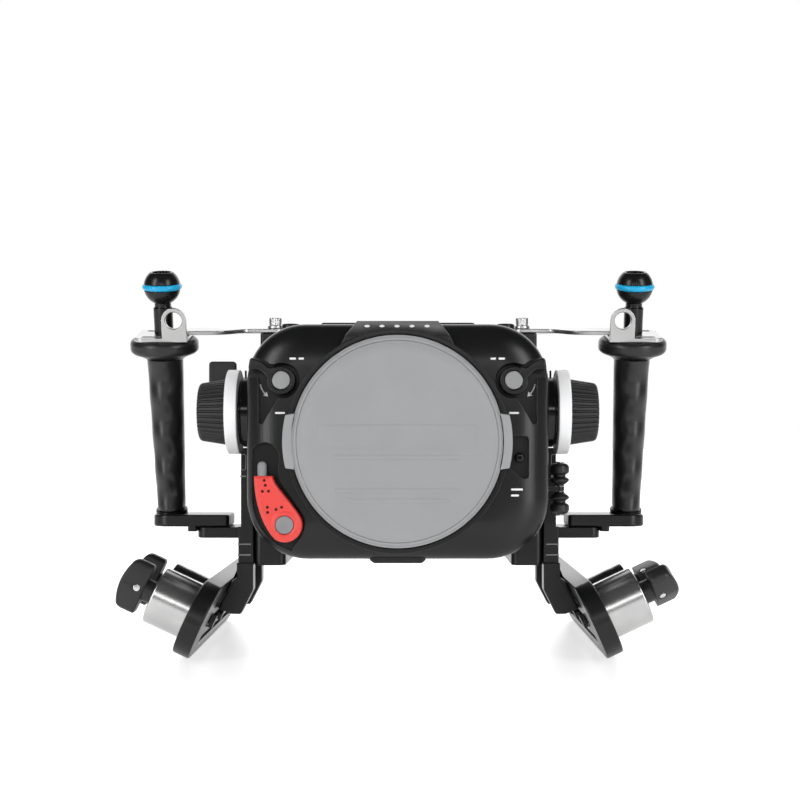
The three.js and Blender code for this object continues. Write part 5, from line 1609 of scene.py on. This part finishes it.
def ballMount():
    height, groove, neck = ball["height"], ball["groove"], ball["neck"]
    low = -math.sqrt(ball["radius"] ** 2 - neck**2)
    lower = [onBall(rise) for rise in np.linspace(low, -groove, 16)]
    upper = [onBall(rise) for rise in np.linspace(groove, ball["flat"] - 0.4, 14)]
    ringRadius = ball["groovedRadius"]
    corners = [
        (0, grip["end"] - 7.7),
        (ball["stud"], grip["end"] - 7.7),
        (ball["stud"], ball["base"]),
        (6.6, ball["base"], 0.3),
        (6.7, ball["base"] + 18.3, 0.8),
        (neck, ball["base"] + 19.0, 0.5),
        *lower,
        (ringRadius, height - groove),
        (ringRadius - groove, height - 1.4),
        (ringRadius - groove, height + 1.4),
        (ringRadius, height + groove),
        *upper,
        (upper[-1][0] - 0.6, height + ball["flat"]),
        (ball["bore"] + 0.6, height + ball["flat"], 0.3),
        (ball["bore"], height + ball["flat"] - 0.6, 0.3),
        (ball["bore"], height + ball["flat"] - ball["boreDepth"]),
        (0, height + ball["flat"] - ball["boreDepth"]),
    ]
    return spun("z", softened(corners, steps=3), count=80)


def ballRing():
    profile = arc((ball["groovedRadius"], ball["height"]), ball["ring"], 0, turn, 24)
    profile[-1] = profile[0]
    return spun("z", profile, count=96)


# The strap: a rounded bar whose middle goes from the leaning bracket to the flat boss by a smooth step
def strapSolid():
    thickness, half = strap["thickness"], strap["half"]
    flat = strap["bossTop"] + seat + thickness / 2
    lift = bracket["high"] + seat + thickness / 2
    start = turned(np.array([[0.0, 0.0, lift]]), "x", grip["lean"])[0] + gripPlace
    section = roundRect((-1.0, 1.0), (-thickness / 2, thickness / 2), 0.6, steps=4)
    inner, outer = strap["inner"], strap["outer"]
    end = half * (1 - np.cos(np.linspace(0, quarter, 9)))
    x = np.concatenate([outer - end, np.linspace(outer - 7.5, inner + 8.0, 60), inner + end[::-1]])
    key = np.array([inner, 102.5, 109.5, 115.0, 120.6, 127.6, 149.0, outer])
    blend = np.interp(x, key, [1, 1, 0.94, 0.6, 0.22, 0.1, 0.0, 0.0])
    smooth = np.convolve(np.pad(blend, 3, mode="edge"), np.ones(7) / 7, mode="valid")
    rings = []
    for place, share in zip(x, smooth):
        reach = half
        if place > outer - half:
            reach = half * math.sqrt(max(0.0004, 1 - ((place - outer + half) / half) ** 2))
        elif place < inner + half:
            reach = half * math.sqrt(max(0.0004, 1 - ((inner + half - place) / half) ** 2))
        across = np.sign(section[:, 0]) * np.maximum(0.05, reach - (1 - np.abs(section[:, 0])))
        ring = np.column_stack([np.zeros(len(section)), across, section[:, 1]])
        ring = turned(ring, "x", grip["lean"] * (1 - share))
        depth = start[1] + (strap["boltY"] - start[1]) * share
        rings.append(ring + np.array([place, depth, start[2] + (flat - start[2]) * share]))
    bolt = (strap["boltX"], strap["boltY"], 0)
    return cut(lofted(rings), rod("z", (flat - 4, flat + 4), studBore, bolt, 24))


def strapBolt():
    base = strap["bossTop"] + strap["thickness"] + 2 * seat
    top = base + 7.8
    corners = [
        (0, strap["bossTop"] - 13.7),
        (3.0, strap["bossTop"] - 13.7),
        (3.0, base),
        (5.6, base, 0.3),
        (5.6, base + 2.2, 0.5),
        (4.4, base + 2.3, 0.2),
        (4.4, top, 0.6),
        (2.2, top, 0.2),
        (2.2, top - 3),
        (0, top - 3),
    ]
    line = softened(corners)
    head = (line[:, 0] > 4.0) & (line[:, 0] < 4.6) & (line[:, 1] > base + 2.5)
    place = (strap["boltX"], strap["boltY"], 0)
    return spun("z", line, place, 120, lambda t: 0.5 + 0.5 * np.cos(30 * t), np.where(head, 0.28, 0.0))


pair("side_rail", sideRail(), satinBlack)
# The rail's light lines: painted highlights along edges, partly wear
pair("side_rail_lines", railHighlightLines(), highlightLineGrey, "side_rail")
pair("base_foot", baseFoot(), satinBlack)
pair("handle_arm", handleArm(), satinBlack)
pair("handle_plate", handlePlate(), satinBlack)
pair("grip", toGrip(gripSolid()), rubber, limit=60)
pair("grip_bracket", toGrip(bracketSolid()), brushedSteel)
pair("ball_mount", toGrip(ballMount()), ballBlack)
pair("ball_ring", toGrip(ballRing()), ringBlue)
pair("strap", strapSolid(), brushedSteel)
pair("strap_bolt", strapBolt(), brushedSteel)
print("handles made")


# In a weight rail's frame X runs out through its thickness and Z up its width; this turns it to its place
def toRail(solid):
    return shifted((turned(solid[0], "y", -tilt), solid[1]), (weightRail["x"], 0, 0))


def slottedRail():
    deep, half = (weightRail["front"], weightRail["rear"]), weightRail["slotHalf"]
    outline = roundRect(deep, (0, weightRail["width"]), weightRail["end"], steps=14)
    slots = []
    for height in weightRail["slots"]:
        mouth = roundRect(weightRail["slotReach"], (height - half, height + half), half - 0.01)
        slots.append(throughCut("x", mouth, 0, weightRail["thickness"], 0.8))
    return cut(slab("x", outline, edged(0, weightRail["thickness"], 1.2)), *slots)


# Turned steel: fine rings about the weight's axis, which runs out and up through the tilted rail
def turnedSteel(name, side):
    finish = Finish(name)
    along = finish.dot(finish.place(), (side * math.cos(tilt), 0.0, math.sin(tilt)))
    sockets = {"W": along, "Scale": 1 / (weight["ring"] * mm), "Detail": 2.0}
    rings = finish.node("ShaderNodeTexNoise", {"noise_dimensions": "1D"}, sockets, "Fac")
    smudge = finish.within(finish.noise(14, 3), 0.3, 0.75)
    return finish.set(
        Base_Color=finish.mix(smudge, grey(0.54), grey(0.6, 0.01)),
        Roughness=finish.between(rings, 0.22, 0.26),
        Normal=finish.roundedNormal(0.4),
        Metallic=1.0,
    )


def diveWeight():
    radius, base, top = weight["radius"], weight["base"], weight["top"]
    corners = [
        (weight["bore"], base),
        (radius, base, 1.6),
        (radius, top, 1.6),
        (radius - 3.0, top, 0.4),
        (radius - 3.4, top - 0.5, 0.4),
        (10.0, top - 0.5, 0.4),
        (9.6, top, 0.4),
        (weight["bore"], top),
        (weight["bore"], base),
    ]
    return spun("x", softened(corners), count=128)


clamp = {
    "neckLow": 41.8,
    "barLow": 49.0,
    "shoulder": 62.5,
    "crown": 4.0,
    "half": 18.0,
    "halfWidth": 8.5,
    "endWidth": 5.0,
    "pin": 2.4,
    "pinX": 54.0,
}


# The clamp knob's bar: at share s of its half length, its half width falls by s^1.5 and its crown by s^2
def clampBar():
    half, low, round_ = clamp["half"], clamp["barLow"], 3.0
    a = np.linspace(0, quarter, 6)
    tail = np.stack([round_ * (1 - np.sin(a)), half - round_ * (1 - np.cos(a))], -1)
    middle = [(0.0, z) for z in np.linspace(half - round_, round_ - half, 21)[1:-1]]
    levels = np.array([*tail, *middle, *(tail * (1, -1))[::-1]])
    rings = []
    for inset, z in levels:
        share = abs(z) / half
        width = clamp["endWidth"] + (clamp["halfWidth"] - clamp["endWidth"]) * (1 - share**1.5)
        top = clamp["shoulder"] + clamp["crown"] * (1 - share**2)
        section = roundRect((low + inset / 2, top - inset), (-width + inset, width - inset), 1.0, 2.2, 5)
        rings.append(np.column_stack([section, np.full(len(section), z)]))
    return lofted(rings)


# The T-shaped clamp knob along the weight's axis: a bar with a crowned end, a neck, a rod and a nut
def clampKnob():
    low, width, x = clamp["barLow"], clamp["halfWidth"], clamp["pinX"]
    seams, holes = [], []
    for side in (-1, 1):
        seams.append(block((low - 2, clamp["shoulder"] + 6), sided(side, width - 0.2, 12), (-0.15, 0.15)))
        holes.append(rod("y", sided(side, width - 0.9, 12), clamp["pin"] + 0.5, (x, 0, 0), 32))
    shape = joined(
        clampBar(),
        rod("x", (clamp["neckLow"], low + 1), 7.8, count=56, edge=0.4),
        rod("x", (-3.3, clamp["neckLow"] + 1), 3.0, count=32),
        rod("x", (-3.3, -0.3), 5.4, count=6),
    )
    return cut(shape, *seams, *holes)


def clampPins():
    width, radius = clamp["halfWidth"], clamp["pin"]
    corners = [(0, width - 1.2), (radius, width - 1.2), (radius, width - 0.25, 0.4), (0, width - 0.2)]
    head = spun("y", softened(corners), (clamp["pinX"], 0, 0), count=40)
    return gathered([head, (head[0] * np.array([1, -1, 1]), head[1])])


# A solid made about the weights' axis, twisted about it and set at its place along its rail
def onRail(solid, side, depth, twist=0.0):
    points = turned(solid[0], "x", twist) + np.array([0, depth, weight["rise"]])
    shape = toRail((points, solid[1]))
    return shape if side == "right" else mirrored(shape)


weightSteel = {"left": turnedSteel("turned_steel_left", -1), "right": turnedSteel("turned_steel_right", 1)}
clampAngles = {"left_front": 0, "left_rear": 0, "right_front": 52, "right_rear": -70}
pair("weight_rail", toRail(slottedRail()), satinBlack)
weightShape, knobShape, pinShape = diveWeight(), clampKnob(), clampPins()
for place, angle in clampAngles.items():
    side, end = place.split("_")
    y, twist = weight[f"{end}Y"], math.radians(angle)
    knobNode, pins = f"{place}_clamp_knob", onRail(pinShape, side, y, twist)
    piece(f"{place}_weight_look", onRail(weightShape, side, y), weightSteel[side], f"{place}_weight")
    piece(f"{place}_clamp_knob_look", onRail(knobShape, side, y, twist), blackPlastic, knobNode)
    piece(f"{place}_clamp_pins", pins, polishedSteel, knobNode, False)
print("rails and weights made")


# Painted marks on the front face: arrows, and plain dots and bars
def barMark(left, right, high, low, y):
    first, last = pixelPoint(left, low, y), pixelPoint(right, high, y)
    outline = roundRect((first[0], last[0]), (first[2], last[2]), (last[2] - first[2]) / 2.05)
    return slab("y", outline, [(0, y - 0.05), (0, y + 0.3)])


arrowPixels = [(260.4, 384.2), (261.2, 390.0), (265.4, 394.0)]  # the left arrow's start, bend and end


def latchArrow():
    floor = latch["floor"]
    s = np.linspace(0, 1, 13)[:, None]
    start, bend, end = [pixelPoint(*pixel, floor)[[0, 2]] for pixel in arrowPixels]
    line = (1 - s) ** 2 * start + 2 * s * (1 - s) * bend + s**2 * end
    along = np.gradient(line, axis=0)
    along /= np.linalg.norm(along, axis=1)[:, None]
    side = np.stack([-along[:, 1], along[:, 0]], -1) * 0.42
    shaft = np.concatenate([line + side, (line - side)[::-1]])
    forward, across = along[-1], np.array([-along[-1][1], along[-1][0]])
    root = end - forward * 0.4
    head = np.array([root + across * 1.7, root - across * 1.7, end + forward * 2.4])
    levels = [(0, floor - 0.06), (0, floor + 0.3)]
    return gathered([slab("y", shaft, levels), slab("y", head, levels)])


leftArrow = latchArrow()
piece("left_latch_arrow", leftArrow, markWhite, "front_shell", False)
piece("right_latch_arrow", mirrored(leftArrow), markWhite, "front_shell", False)
wordBars = [  # in pixels of the photograph: left, right, top and bottom
    (289.5, 296, 357.6, 359.6),
    (298.5, 304, 357.6, 359.6),
    (275, 285, 412, 414),
    (490.5, 496, 357.6, 359.6),
    (498.5, 505, 357.6, 359.6),
    (509, 519, 412, 414),
    (511, 523, 488.5, 490.5),
    (511, 519, 494.5, 496.5),
]
piece("front_marks", gathered([barMark(*bar, 0.0) for bar in wordBars]), markWhite, "front_shell", False)


# A small ring and a row of dots on the hood's sloped brow, where depth = front + (height - low) slope
def browMarks():
    low, slope = deck["height"] - hood["brow"], (hood["back"] - hood["front"]) / hood["brow"]

    def onBrow(solid):
        points = solid[0].copy()
        points[:, 1] += hood["front"] + (points[:, 2] - low) * slope
        return points, solid[1]

    marks = []
    a = np.linspace(0, turn, 33)[:-1]
    ring = pixelPoint(397, 331, 3.5)
    outer = np.stack([ring[0] + 2.0 * np.cos(a), ring[2] + 1.45 * np.sin(a)], -1)
    hole = np.stack([ring[0] + 1.25 * np.cos(a), ring[2] + 0.75 * np.sin(a)], -1)
    disc = slab("y", outer, [(0, -0.06), (0, 0.3)])
    marks.append(onBrow(cut(disc, slab("y", hole, [(0, -1), (0, 1)]))))
    for px in (367, 382, 397, 412, 427):
        spot = pixelPoint(px, 326, 8.0)
        dot = np.stack([spot[0] + 1.7 * np.cos(a), spot[2] + 0.95 * np.sin(a)], -1)
        marks.append(onBrow(slab("y", dot, [(0, -0.06), (0, 0.3)])))
    return gathered(marks)


piece("brow_marks", browMarks(), markWhite, "front_shell", False)
for node, finish in (("camera_tray", satinBlack), ("shell_seal", rubber)):
    for material in frame["nodes"][node].material_slots:
        material.material = finish
print("marks made")


# Floor and lights
def makeStage():
    finish = Finish("pale_floor")
    depth = finish.dot(finish.place(), (0, 1, 0))
    lit = finish.within(depth, -1.0, -0.48)  # the floor darkens in front of the picture's lower edge
    floorFinish = finish.set(
        Base_Color=finish.mix(lit, grey(0.2), finish.mix(finish.noise(400, 2), grey(0.6), grey(0.63))),
        Roughness=finish.between(finish.noise(60, 2), 0.3, 0.36),
        Specular_IOR_Level=0.4,
        Emission_Color=finish.mix(lit, grey(0.2), (1, 1, 1, 1)),
        Emission_Strength=0.62,
    )
    mesh = bpy.data.meshes.new("floor")
    reach = 14.0
    corners = [(-reach, -reach, 0), (reach, -reach, 0), (reach, reach, 0), (-reach, reach, 0)]
    mesh.from_pydata(corners, [], [(0, 1, 2, 3)])
    mesh.materials.append(floorFinish)
    linked("floor", mesh)


def softbox(name, place, aim, size, power, glossy=True):
    data = bpy.data.lights.new(name, "AREA")
    data.shape, data.size, data.size_y, data.energy = "RECTANGLE", size[0], size[1], power
    lamp = linked(name, data)
    lamp.location = place
    lamp.visible_glossy = glossy
    direction = np.array(aim, float) - np.array(place, float)
    lamp.rotation_euler = Vector(direction).to_track_quat("-Z", "Y").to_euler()


# The world: plain white to the camera, and to the object dark in front, bright behind and dim above
def makeWorld(seen, front, behind):
    world = bpy.data.worlds.new("studio")
    world.use_nodes = True
    tree = world.node_tree
    tree.nodes.clear()
    direction = tree.nodes.new("ShaderNodeTexCoord")
    axes = tree.nodes.new("ShaderNodeSeparateXYZ")
    spread = tree.nodes.new("ShaderNodeMapRange")
    spread.interpolation_type = "SMOOTHSTEP"
    for name, value in (("From Min", 0.4), ("From Max", 0.9), ("To Min", front), ("To Max", behind)):
        spread.inputs[name].default_value = value
    path = tree.nodes.new("ShaderNodeLightPath")
    around, backdrop = tree.nodes.new("ShaderNodeBackground"), tree.nodes.new("ShaderNodeBackground")
    for background in (around, backdrop):
        background.inputs["Color"].default_value = (1, 1, 1, 1)
    backdrop.inputs["Strength"].default_value = seen
    blend = tree.nodes.new("ShaderNodeMixShader")
    output = tree.nodes.new("ShaderNodeOutputWorld")
    for first, second in (
        (direction.outputs["Generated"], axes.inputs[0]),
        (axes.outputs["Y"], spread.inputs["Value"]),
        (spread.outputs["Result"], around.inputs["Strength"]),
        (path.outputs["Is Camera Ray"], blend.inputs[0]),
        (around.outputs[0], blend.inputs[1]),
        (backdrop.outputs[0], blend.inputs[2]),
        (blend.outputs[0], output.inputs["Surface"]),
    ):
        tree.links.new(first, second)
    bpy.context.scene.world = world


makeStage()
makeWorld(1.0, 0.05, 1.9)
softbox("overhead", (0.0, -0.1, 2.4), (0, 0, 0), (2.6, 2.2), 22, False)
softbox("left", (-1.1, -1.2, 0.62), (0, 0, 0.12), (0.45, 1.3), 12)
softbox("front_strip", (0.0, -2.2, 0.55), (0, 0, 0.1), (1.6, 0.24), 5)
softbox("right", (1.1, -1.2, 0.62), (0, 0, 0.12), (0.45, 1.3), 12)
bpy.context.scene.view_settings.view_transform = "Standard"
print("stage and lights made")
